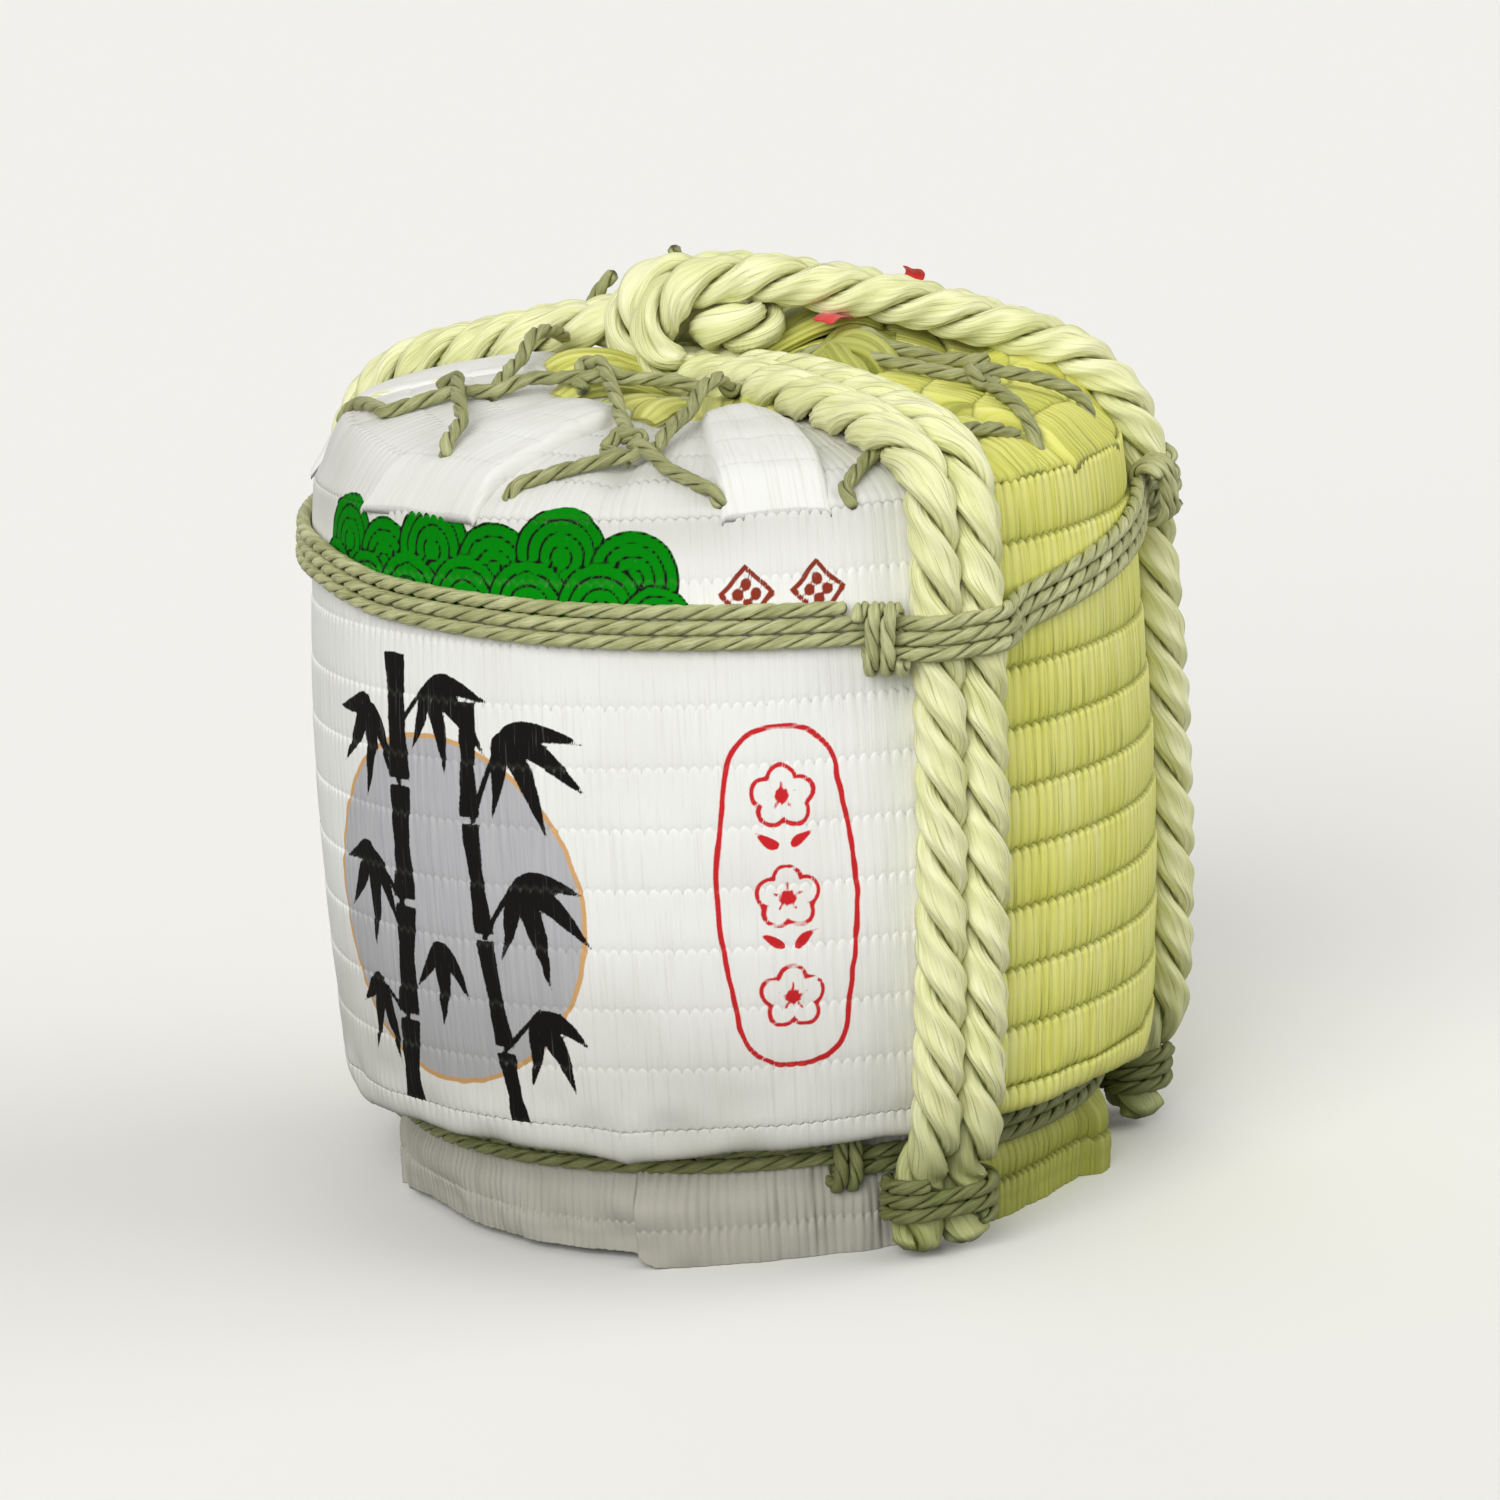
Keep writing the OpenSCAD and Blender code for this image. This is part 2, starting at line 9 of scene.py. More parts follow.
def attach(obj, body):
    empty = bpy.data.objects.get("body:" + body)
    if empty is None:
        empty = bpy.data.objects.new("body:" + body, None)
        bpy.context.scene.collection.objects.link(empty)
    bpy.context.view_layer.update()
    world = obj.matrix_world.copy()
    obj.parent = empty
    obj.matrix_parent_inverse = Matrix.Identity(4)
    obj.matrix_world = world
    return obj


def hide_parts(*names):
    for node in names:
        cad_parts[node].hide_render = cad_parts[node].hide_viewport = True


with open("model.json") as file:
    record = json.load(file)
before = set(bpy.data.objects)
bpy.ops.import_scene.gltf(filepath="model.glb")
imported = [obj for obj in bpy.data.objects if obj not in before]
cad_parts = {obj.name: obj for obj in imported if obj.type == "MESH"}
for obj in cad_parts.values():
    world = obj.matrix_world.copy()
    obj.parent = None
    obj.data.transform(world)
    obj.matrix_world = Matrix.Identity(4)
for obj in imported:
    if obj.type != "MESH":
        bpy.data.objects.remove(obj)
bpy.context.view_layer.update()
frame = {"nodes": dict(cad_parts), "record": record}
luck = np.random.default_rng(11)
mm = 0.001
print("frame loaded")

# camera, floor and light

view = {
    "turn": 38.5,  # degrees round the barrel, from the middle of the print
    "side": 0.01195,
    "back": 3.80011,
    "height": 1.11487,
    "aim": 0.30947,
    "roll": -3.18,
    "lens": 127.26,
}


def spin(x, y, z, degrees):
    c, s = math.cos(math.radians(degrees)), math.sin(math.radians(degrees))
    return Vector((x * c - y * s, x * s + y * c, z))


def makeCamera():
    data = bpy.data.cameras.new("photoCamera")
    data.lens, data.sensor_width = view["lens"], 36
    camera = bpy.data.objects.new("photoCamera", data)
    bpy.context.scene.collection.objects.link(camera)
    eye = spin(view["side"], -view["back"], view["height"], view["turn"])
    ahead = (spin(view["side"], 0, view["aim"], view["turn"]) - eye).normalized()
    right = ahead.cross(Vector((0, 0, 1))).normalized()
    up = right.cross(ahead)
    c, s = math.cos(math.radians(view["roll"])), math.sin(math.radians(view["roll"]))
    tiltedRight, tiltedUp = c * right + s * up, c * up - s * right
    turned = Matrix((tiltedRight, tiltedUp, -ahead)).transposed().to_4x4()
    camera.matrix_world = Matrix.Translation(eye) @ turned
    bpy.context.scene.camera = camera


makeCamera()


def linear(red, green, blue):  # a colour as a paint chart gives it, 0 to 255
    return tuple(
        c / 255 / 12.92 if c <= 10.3 else ((c / 255 + 0.055) / 1.055) ** 2.4
        for c in (red, green, blue)
    ) + (1.0,)


# shader maths


class Signal:  # wraps a socket, so that materials are written as sums
    def __init__(self, look, socket):
        self.look, self.socket = look, socket

    def step(self, operation, *others):
        sockets = dict(enumerate((self,) + others))
        return self.look.add("ShaderNodeMath", {"operation": operation}, sockets)

    def __add__(self, other):
        return self.step("ADD", other)

    def __sub__(self, other):
        return self.step("SUBTRACT", other)

    def __mul__(self, other):
        return self.step("MULTIPLY", other)

    def __radd__(self, other):
        return self.step("ADD", other)

    def most(self, other):
        return self.step("MAXIMUM", other)

    def ramp(self, low, high, first=0.0, last=1.0):  # held at first and last outside
        return self.look.add(
            "ShaderNodeMapRange",
            {"clamp": True},
            {"Value": self, "From Min": low, "From Max": high, "To Min": first, "To Max": last},
        )

    def inside(self, soft=0.0004):  # 1 where a signed distance is below zero
        return self.ramp(-soft, soft, 1.0, 0.0)


class Look:  # one material
    def __init__(self, name, roughness=0.8):
        self.material = bpy.data.materials.new(name)
        self.material.use_nodes = True
        self.tree = self.material.node_tree
        self.tree.nodes.clear()
        self.shader = self.tree.nodes.new("ShaderNodeBsdfPrincipled")
        self.shader.inputs["Roughness"].default_value = roughness
        out = self.tree.nodes.new("ShaderNodeOutputMaterial")
        self.tree.links.new(self.shader.outputs[0], out.inputs[0])

    def add(self, kind, settings=None, sockets=None, output=0):
        node = self.tree.nodes.new(kind)
        for key, value in (settings or {}).items():
            if key == "stops":
                while len(node.color_ramp.elements) < len(value):
                    node.color_ramp.elements.new(0.5)
                for element, (place, colour) in zip(node.color_ramp.elements, value):
                    element.position, element.color = place, colour
            else:
                setattr(node, key, value)
        for key, value in (sockets or {}).items():
            found = node.inputs[key] if isinstance(key, int) else next(
                s for s in node.inputs if s.identifier == key or (s.name == key and s.enabled)
            )
            self.feed(found, value)
        if isinstance(output, str):
            found = next(s for s in node.outputs if output in (s.identifier, s.name))
            return Signal(self, found)
        return Signal(self, node.outputs[output])

    def feed(self, socket, value):
        if isinstance(value, Signal):
            self.tree.links.new(value.socket, socket)
        else:
            socket.default_value = value

    def value(self, name):  # a number kept on the mesh
        return self.add("ShaderNodeAttribute", {"attribute_name": name}, output="Fac")

    def place(self, name="lay", scale=(1, 1, 1)):  # a vector kept on the mesh, stretched
        kept = self.add("ShaderNodeAttribute", {"attribute_name": name}, output="Vector")
        return self.add("ShaderNodeVectorMath", {"operation": "MULTIPLY"}, {0: kept, 1: scale})

    def noise(self, where, scale, detail=2.0, roughness=0.5):
        sockets = {"Vector": where, "Scale": scale, "Detail": detail, "Roughness": roughness}
        return self.add("ShaderNodeTexNoise", None, sockets)

    def blend(self, amount, first, second, kind="MIX"):
        return self.add(
            "ShaderNodeMix",
            {"data_type": "RGBA", "blend_type": kind},
            {"Factor_Float": amount, "A_Color": first, "B_Color": second},
            output="Result_Color",
        )

    def shades(self, amount, *stops):
        return self.add("ShaderNodeValToRGB", {"stops": stops}, {"Fac": amount})

    def finish(self, colour=None, roughness=None, height=None, depth=0.0005, **fixed):
        if colour is not None:
            self.feed(self.shader.inputs["Base Color"], colour)
        if roughness is not None:
            self.feed(self.shader.inputs["Roughness"], roughness)
        if height is not None:
            sockets = {"Height": height, "Distance": depth, "Strength": 1.0}
            bump = self.add("ShaderNodeBump", None, sockets)
            self.feed(self.shader.inputs["Normal"], bump)
        for name, value in fixed.items():
            self.shader.inputs[name.replace("_", " ")].default_value = value
        return self.material


studio = {
    "backdrop": (241, 240, 236),
    "bounce": (112, 111, 106),  # what the floor sends back to the barrel
    "sky": 0.44,
    "lamps": [  # strength, direction from the camera, height and softness in degrees
        ("key", 2.36, -20, 26, 45),
        ("fill", 1.36, 85, 25, 60),
        ("back", 0.75, 195, 10, 60),
    ],
    "floorReach": 60,  # metres
}


def makeStudio():
    scene = bpy.context.scene
    scene.view_settings.view_transform = "Standard"
    world = bpy.data.worlds.new("studio")
    scene.world = world
    world.use_nodes = True
    sky = world.node_tree.nodes["Background"]
    sky.inputs["Color"].default_value = (1, 1, 1, 1)
    sky.inputs["Strength"].default_value = studio["sky"]
    for name, strength, azimuth, height, softness in studio["lamps"]:
        lamp = bpy.data.lights.new(name, "SUN")
        lamp.energy, lamp.angle = strength, math.radians(softness)
        lampObject = bpy.data.objects.new(name, lamp)
        scene.collection.objects.link(lampObject)
        side = view["turn"] + azimuth
        flat = math.cos(math.radians(height))
        toLamp = spin(0, -flat, math.sin(math.radians(height)), side)
        lampObject.rotation_mode = "QUATERNION"
        lampObject.rotation_quaternion = toLamp.to_track_quat("Z", "Y")
    look = Look("floorPaint", 0.95)
    kinds = ("Camera", "Glossy", "Transmission")
    rays = [look.add("ShaderNodeLightPath", output=f"Is {kind} Ray") for kind in kinds]
    seen = rays[0].most(rays[1]).most(rays[2])
    colour = look.blend(seen, linear(*studio["bounce"]), linear(*studio["backdrop"]))
    floorMaterial = look.finish(colour, Specular_IOR_Level=0.0)
    mesh = bpy.data.meshes.new("floor")
    far = studio["floorReach"]
    corners = [(-far, -far, 0), (far, -far, 0), (far, far, 0), (-far, far, 0)]
    mesh.from_pydata(corners, [], [(0, 1, 2, 3)])
    floor = bpy.data.objects.new("floor", mesh)
    mesh.materials.append(floorMaterial)
    scene.collection.objects.link(floor)


makeStudio()
print("camera, floor and lamps placed")

# mesh helpers, in millimetres until a mesh is stored

printNames = ("ink", "disc", "leafGreen", "line", "red", "brown")  # distances kept on the mats


def storeMesh(name, points, faces, values, material):
    mesh = bpy.data.meshes.new(name)
    counts = np.array([len(f) for f in faces])
    corners = np.concatenate([np.asarray(f) for f in faces])
    mesh.vertices.add(len(points))
    mesh.vertices.foreach_set("co", (np.asarray(points, float) * mm).astype(np.float32).ravel())
    mesh.loops.add(len(corners))
    mesh.loops.foreach_set("vertex_index", corners.astype(np.int32))
    mesh.polygons.add(len(counts))
    starts = np.concatenate([[0], np.cumsum(counts)[:-1]])
    mesh.polygons.foreach_set("loop_start", starts.astype(np.int32))
    mesh.polygons.foreach_set("use_smooth", np.ones(len(counts), bool))
    mesh.update(calc_edges=True)
    mesh.validate()
    for key, data in values.items():
        data = np.asarray(data, np.float32)
        if data.ndim == 2:
            mesh.attributes.new(key, "FLOAT_VECTOR", "POINT").data.foreach_set("vector", data.ravel())
        else:
            mesh.attributes.new(key, "FLOAT", "POINT").data.foreach_set("value", data)
    mesh.materials.append(material)
    piece = bpy.data.objects.new(name, mesh)
    bpy.context.scene.collection.objects.link(piece)
    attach(piece, "root")
    return piece


def gridFaces(rows, columns, closed=False, start=0):
    i = np.arange(rows - 1)[:, None] * columns
    j = np.arange(columns if closed else columns - 1)[None, :]
    k = (j + 1) % columns
    return (start + np.stack([i + j, i + k, i + columns + k, i + columns + j], -1)).reshape(-1, 4)


def shellMesh(name, outer, inner, values, material, slot):
    # outer and inner are grids of rows and columns: two skins, joined at their edges
    rows, columns = outer.shape[:2]
    rowsIn = inner.shape[0]
    base = rows * columns
    faces = list(gridFaces(rows, columns))
    faces += list(gridFaces(rowsIn, columns, start=base)[:, ::-1])
    lastRow, lastRowIn = (rows - 1) * columns, base + (rowsIn - 1) * columns
    for top, bottom, flip in ((0, base, False), (lastRow, lastRowIn, True)):
        for j in range(columns - 1):
            quad = [bottom + j, bottom + j + 1, top + j + 1, top + j]
            faces.append(quad[::-1] if flip else quad)
    for edge, flip in ((0, False), (columns - 1, True)):
        ring = [i * columns + edge for i in range(rows)]
        back = [base + i * columns + edge for i in range(rowsIn - 1, -1, -1)]
        loop = ring + back
        faces.append(loop[::-1] if flip else loop)
    points = np.concatenate([outer.reshape(-1, 3), inner.reshape(-1, 3)])
    kept = {}
    for key, data in values.items():
        flat = data.reshape(-1, 3) if data.ndim == 3 else data.ravel()
        tail = np.zeros((rowsIn * columns,) + flat.shape[1:])
        if data.ndim == 3:
            tail = inner.reshape(-1, 3) * mm
        elif key in printNames:
            tail = tail + 1.0  # far outside the print
        kept[key] = np.concatenate([flat, tail])
    return storeMesh(name, points, faces, kept, material)


noiseTables = luck.random((8, 64, 64))


def softNoise(x, y, table=0):  # smooth noise, about -1 to 1, one bump per unit
    grid = noiseTables[table]
    x, y = np.broadcast_arrays(np.asarray(x, float), np.asarray(y, float))
    xi, yi = np.floor(x).astype(int), np.floor(y).astype(int)
    fx, fy = x - xi, y - yi
    fx, fy = fx * fx * (3 - 2 * fx), fy * fy * (3 - 2 * fy)
    a, b = grid[xi % 64, yi % 64], grid[(xi + 1) % 64, yi % 64]
    c, d = grid[xi % 64, (yi + 1) % 64], grid[(xi + 1) % 64, (yi + 1) % 64]
    return 2 * ((a * (1 - fx) + b * fx) * (1 - fy) + (c * (1 - fx) + d * fx) * fy) - 1


def turnBetween(a, b):  # degrees from b to a, -180 to 180
    return (np.asarray(a, float) - b + 540) % 360 - 180


def ease(low, high, x):  # 0 at low, 1 at high, smooth between and held outside
    t = np.clip((np.asarray(x, float) - low) / (high - low), 0, 1)
    return t * t * (3 - 2 * t)


def smoothLine(points, step):
    # Catmull-Rom through the points, then even steps along it
    p = np.asarray(points, float)
    p = np.vstack([2 * p[0] - p[1], p, 2 * p[-1] - p[-2]])
    knots = np.concatenate([[0], np.cumsum(np.sqrt(np.linalg.norm(np.diff(p, axis=0), axis=1)) + 1e-9)])
    pieces = []
    for i in range(1, len(p) - 2):
        t0, t1, t2, t3 = knots[i - 1 : i + 3]
        t = np.linspace(t1, t2, 24, endpoint=False)[:, None]
        a1 = (t1 - t) / (t1 - t0) * p[i - 1] + (t - t0) / (t1 - t0) * p[i]
        a2 = (t2 - t) / (t2 - t1) * p[i] + (t - t1) / (t2 - t1) * p[i + 1]
        a3 = (t3 - t) / (t3 - t2) * p[i + 1] + (t - t2) / (t3 - t2) * p[i + 2]
        b1 = (t2 - t) / (t2 - t0) * a1 + (t - t0) / (t2 - t0) * a2
        b2 = (t3 - t) / (t3 - t1) * a2 + (t - t1) / (t3 - t1) * a3
        pieces.append((t2 - t) / (t2 - t1) * b1 + (t - t1) / (t2 - t1) * b2)
    line = np.vstack(pieces + [p[-2:-1]])
    along = np.concatenate([[0], np.cumsum(np.linalg.norm(np.diff(line, axis=0), axis=1))])
    even = np.linspace(0, along[-1], max(8, int(along[-1] / step)))
    return np.stack([np.interp(even, along, line[:, k]) for k in range(3)], -1), even


def lineFrame(line, start=(0.3, 0.1, 1.0)):  # two directions square to the line, without twist
    tangent = np.gradient(line, axis=0)
    tangent /= np.linalg.norm(tangent, axis=1)[:, None]
    normal = np.zeros_like(line)
    n = np.asarray(start, float)
    for i, t in enumerate(tangent):
        n = n - (n @ t) * t
        n = n / np.linalg.norm(n)
        normal[i] = n
    return normal, np.cross(tangent, normal)


# sizes of the wrapped drum, the same as in the CAD source

drum = {
    "fullRadius": 305.0,
    "footDraw": 6.5,
    "shoulderDraw": 14.0,
    "hemHeight": 90.0,
    "hemRise": 19.0,
    "rowPitch": 42.3,
    "rows": 10,
    "matThickness": 11.0,
    "skirtRadius": 256.0,
    "groove": 4.0,
}
lowZ = drum["hemHeight"] + drum["hemRise"]
topZ = lowZ + drum["rows"] * drum["rowPitch"]
fullZ = lowZ + 0.43 * (topZ - lowZ)
shoulderR = drum["fullRadius"] - drum["shoulderDraw"]
domeRise = np.array([  # inward from the shoulder, rise
    [0, 0], [3, 4], [8, 7], [19, 13.5], [41, 21.5], [91, 33], [141, 39], [186, 42], [203, 42.5], [300, 43],
])
legA, legB, legC = -82.0, 67.0, 138.5  # directions of the rope pairs


def wallR(z):
    z = np.asarray(z, float)
    low = drum["fullRadius"] - drum["footDraw"] * ((fullZ - z) / (fullZ - lowZ)) ** 2
    high = drum["fullRadius"] - drum["shoulderDraw"] * ((z - fullZ) / (topZ - fullZ)) ** 2
    return np.where(z < fullZ, low, high)


def domeZ(r):
    return topZ + np.interp(shoulderR - np.asarray(r, float), domeRise[:, 0], domeRise[:, 1])


def at(a, r, z, x=0.0):  # a point by direction from -Y, radius and height, moved x sideways
    a = np.radians(a)
    right, back = r * np.sin(a) + x * np.cos(a), -r * np.cos(a) + x * np.sin(a)
    return np.stack(np.broadcast_arrays(right, back, z), -1)


def lean(a, z):  # the front pair of ropes leans a little
    return legB - 3 + 5 * z / topZ if a == legB else a


# finishes

straw = {
    "palest": (240, 238, 178),
    "pale": (240, 238, 140),
    "middle": (228, 227, 108),
    "deep": (195, 197, 68),
    # the gap colour is painted shade between straws, bundles and stitches
    "gap": (92, 98, 26),
}
paint = {"white": (240, 240, 236), "worn": (224, 224, 214), "shade": (204, 205, 196)}
printInk = {
    "silver": (188, 188, 190),
    "rim": (214, 168, 112),
    "black": (24, 23, 22),
    "green": (2, 138, 10),
    "red": (204, 42, 46),
    "brown": (142, 54, 38),
}


def strawSignals(look, across=760.0):
    fine = look.noise(look.place("lay", (1, 0.022, 1)), across, 3, 0.6)
    broad = look.noise(look.place("lay", (1, 0.07, 1)), 95, 2)
    patch = look.noise(look.place("lay", (1, 1, 1)), 9, 2)
    return fine, broad, patch


def strawColour(look, fine, broad, patch):
    tone = fine * 0.75 + broad * 0.3 + patch * 0.3 + look.value("tone") * 0.09 - 0.16
    return look.shades(
        tone,
        (0.2, linear(*straw["deep"])),
        (0.42, linear(*straw["middle"])),
        (0.6, linear(*straw["pale"])),
        (0.85, linear(*straw["palest"])),
    )


def makeGreenMat():
    look = Look("greenStrawMat", 0.6)
    fine, broad, patch = strawSignals(look)
    colour = strawColour(look, fine, broad, patch)
    # painted shade along the stitch lines, in the valleys between bundles and in the stitch holes
    dark = (look.value("valley") * 0.8).most(look.value("seam")).most(look.value("pit"))
    slit = look.noise(look.place("lay", (1, 0.014, 1)), 420, 2, 0.6).ramp(0.55, 0.66)  # between straws
    shade = look.value("shade")
    colour = look.blend(shade * 0.5, colour, linear(*straw["deep"]))
    # darker by a kept value: partly dirt, partly painted shade low on the wall, on the skirt under the hem,
    # over the top and under the rear rope
    dirtAndShadeAmount = look.value("grime") * (0.6 + patch * 0.6)
    colour = look.blend(dirtAndShadeAmount, colour, look.blend(0.85, colour, linear(138, 146, 84), "MULTIPLY"))
    # painted shade in the gap colour: the slits between straws, the valleys, stitch lines and holes
    gapShade = (slit * (0.2 + shade * 0.6)).most(dark * fine.ramp(0.2, 0.8, 1.0, 0.5)) * 0.8
    colour = look.blend(gapShade, colour, linear(*straw["gap"]))
    height = fine * 0.7 + broad * 0.2 - slit * 0.5
    return look.finish(colour, fine.ramp(0.2, 0.8, 0.72, 0.5), height, 0.0006, Specular_IOR_Level=0.35)


def makeWhiteMat():
    look = Look("whitePaintedMat", 0.85)
    fine, broad, patch = strawSignals(look)
    strawTone = strawColour(look, fine, broad, patch)
    streak = look.noise(look.place("lay", (1, 0.03, 1)), 420, 3, 0.65)
    colour = look.blend(streak.ramp(0.52, 0.78), linear(*paint["white"]), linear(*paint["worn"]))
    colour = look.blend(patch.ramp(0.45, 0.8) * 0.5, colour, linear(*paint["worn"]))
    rough = look.noise(look.place("lay", (1, 0.35, 1)), 900, 3, 0.7) - 0.5
    edge = rough * 0.0016  # ragged print edges

    disc = look.value("disc") + edge
    colour = look.blend(disc.inside(), colour, linear(*printInk["rim"]))
    silver = look.blend(streak.ramp(0.4, 0.75), linear(*printInk["silver"]), linear(172, 172, 176))
    colour = look.blend((disc + 0.0036).inside(), colour, silver)
    leaf = look.blend(streak.ramp(0.45, 0.8) * 0.6, linear(*printInk["green"]), linear(12, 140, 18))
    colour = look.blend((look.value("leafGreen") + edge * 0.5).inside(), colour, leaf)
    for name, ragged, ink in (("line", 0.3, "black"), ("red", 0.4, "red"), ("brown", 0.4, "brown")):
        colour = look.blend((look.value(name) + edge * ragged).inside(), colour, linear(*printInk[ink]))
    brush = (look.value("ink") + edge * 1.5).inside()
    dry = streak.ramp(0.6, 0.8, 1.0, 0.82)  # dry streaks in the brush strokes
    colour = look.blend(brush * dry, colour, linear(*printInk["black"]))

    flecks = look.noise(look.place("lay", (1, 0.2, 1)), 640, 2, 0.6)
    colour = look.blend(flecks.ramp(0.72, 0.8) * 0.4, colour, linear(150, 154, 128))
    # darker by a kept value: dirt on the skirt together with painted shade on the skirt under the hem, low
    # on the wall, over the top rows and on the tongues
    dirtAndShadeAmount = look.value("grime") * (0.55 + patch * 0.6)
    colour = look.blend(dirtAndShadeAmount, colour, look.blend(0.75, colour, linear(150, 146, 128), "MULTIPLY"))
    chip = (look.value("wear") + (fine - 0.5) * 0.9 + (streak - 0.5) * 0.6).ramp(0.55, 0.62)
    colour = look.blend(chip * 0.8, colour, look.blend(0.35, strawTone, linear(96, 98, 80)))
    bare = (look.value("bare") + (fine - 0.5) * 0.35 + (streak - 0.5) * 0.35).ramp(0.46, 0.54)
    colour = look.blend(bare, colour, strawTone)
    # painted shade along the stitch lines, in the bare straw valleys and in the stitch holes
    dark = (look.value("seam") * 0.07).most(look.value("valley") * bare * 0.8).most(look.value("pit") * 0.75)
    colour = look.blend(dark, colour, look.blend(bare, linear(120, 122, 108), linear(*straw["gap"])))
    height = fine * 0.45 + streak * 0.5
    return look.finish(colour, fine.ramp(0.3, 0.8, 0.9, 0.75), height, 0.0004, Specular_IOR_Level=0.06)


ropeStraw = {  # palest, pale, deep and gap colours (the gap colour is painted shade in the crevices and slits), grain across and along, roughness
    "thickRopeStraw": ((246, 246, 214), (233, 234, 178), (198, 203, 126), (104, 110, 44), 520, 0.05, 0.5),
    "thinRopeStraw": ((196, 199, 150), (156, 158, 106), (112, 116, 68), (52, 55, 28), 900, 0.06, 0.55),
    "waistRopeStraw": ((218, 220, 172), (182, 184, 130), (132, 136, 82), (58, 61, 32), 900, 0.06, 0.5),
}


def makeRope(name, palest, pale, deep, gap, across, along, roughness):
    look = Look(name, roughness)
    fine = look.noise(look.place("lay", (1, 1, along)), across, 3, 0.65)
    broad = look.noise(look.place("lay", (1, 1, along * 1.6)), across * 0.22, 2)
    patch = look.noise(look.place("lay", (1, 1, 1)), 14, 2)
    blotch = look.noise(look.place("lay", (1, 1, 0.35)), 46, 2)
    hair = look.noise(look.place("lay", (1, 1, along * 0.5)), across * 2.6, 2, 0.7)
    tone = fine * 0.55 + broad * 0.5 + patch * 0.3 + blotch * 0.45 + hair * 0.4 - 0.6
    colour = look.shades(tone, (0.2, linear(*deep)), (0.5, linear(*pale)), (0.8, linear(*palest)))
    slit = look.noise(look.place("lay", (1, 1, along * 0.7)), across * 1.3, 2).ramp(0.58, 0.68)
    colour = look.blend(slit * 0.45, colour, linear(*gap))
    # darker towards the floor: partly dirt, partly painted shade
    dirtAndShadeAmount = look.value("dirt") * (0.5 + blotch * 0.8)
    colour = look.blend(dirtAndShadeAmount, colour, look.blend(0.9, colour, linear(140, 148, 88), "MULTIPLY"))
    # painted shade in the crevices between strands
    colour = look.blend(look.value("crevice").ramp(0.15, 0.95) * 0.85, colour, linear(*gap))
    dull = fine.ramp(0.2, 0.8, roughness + 0.12, roughness - 0.1)
    height = fine * 0.6 + broad * 0.4 + hair * 0.5
    return look.finish(colour, dull, height, 0.0009, Specular_IOR_Level=0.4)


def makeWood(name, pale, deep, ring):
    look = Look(name, 0.6)
    where = look.add("ShaderNodeTexCoord", None, None, output="Object")
    stretched = look.add("ShaderNodeVectorMath", {"operation": "MULTIPLY"}, {0: where, 1: ring})
    grain = look.noise(stretched, 60, 4, 0.6)
    pores = look.noise(stretched, 420, 2, 0.6)
    lines = (grain * 14).step("FRACT")
    colour = look.blend(lines * 0.5 + pores * 0.35, linear(*pale), linear(*deep))
    return look.finish(colour, pores.ramp(0, 1, 0.5, 0.75), lines * 0.3 + pores * 0.5, 0.0003)


greenMat = makeGreenMat()
whiteMat = makeWhiteMat()
thickStraw, thinStraw, waistStraw = (makeRope(name, *numbers) for name, numbers in ropeStraw.items())
woods = {
    "cedar_stave": makeWood("cedarStaves", (204, 156, 112), (158, 104, 70), (1, 1, 0.05)),
    "cedar_board": makeWood("cedarBoards", (216, 176, 130), (172, 124, 84), (0.05, 1, 1)),
    "bung_wood": makeWood("paleBungs", (222, 196, 150), (188, 152, 104), (1, 0.1, 1)),
    "bamboo_hoop": makeWood("splitBamboo", (206, 196, 128), (160, 146, 82), (1, 1, 0.2)),
}
slotOf = {s["node"]: s["material_slot"] for s in frame["record"]["subparts"]}
for node, thing in frame["nodes"].items():
    if slotOf.get(node) in woods:
        thing.data.materials.clear()
        thing.data.materials.append(woods[slotOf[node]])
print("finishes made")

# the print: signed distances in millimetres on the flat mat, x along the wall and y up

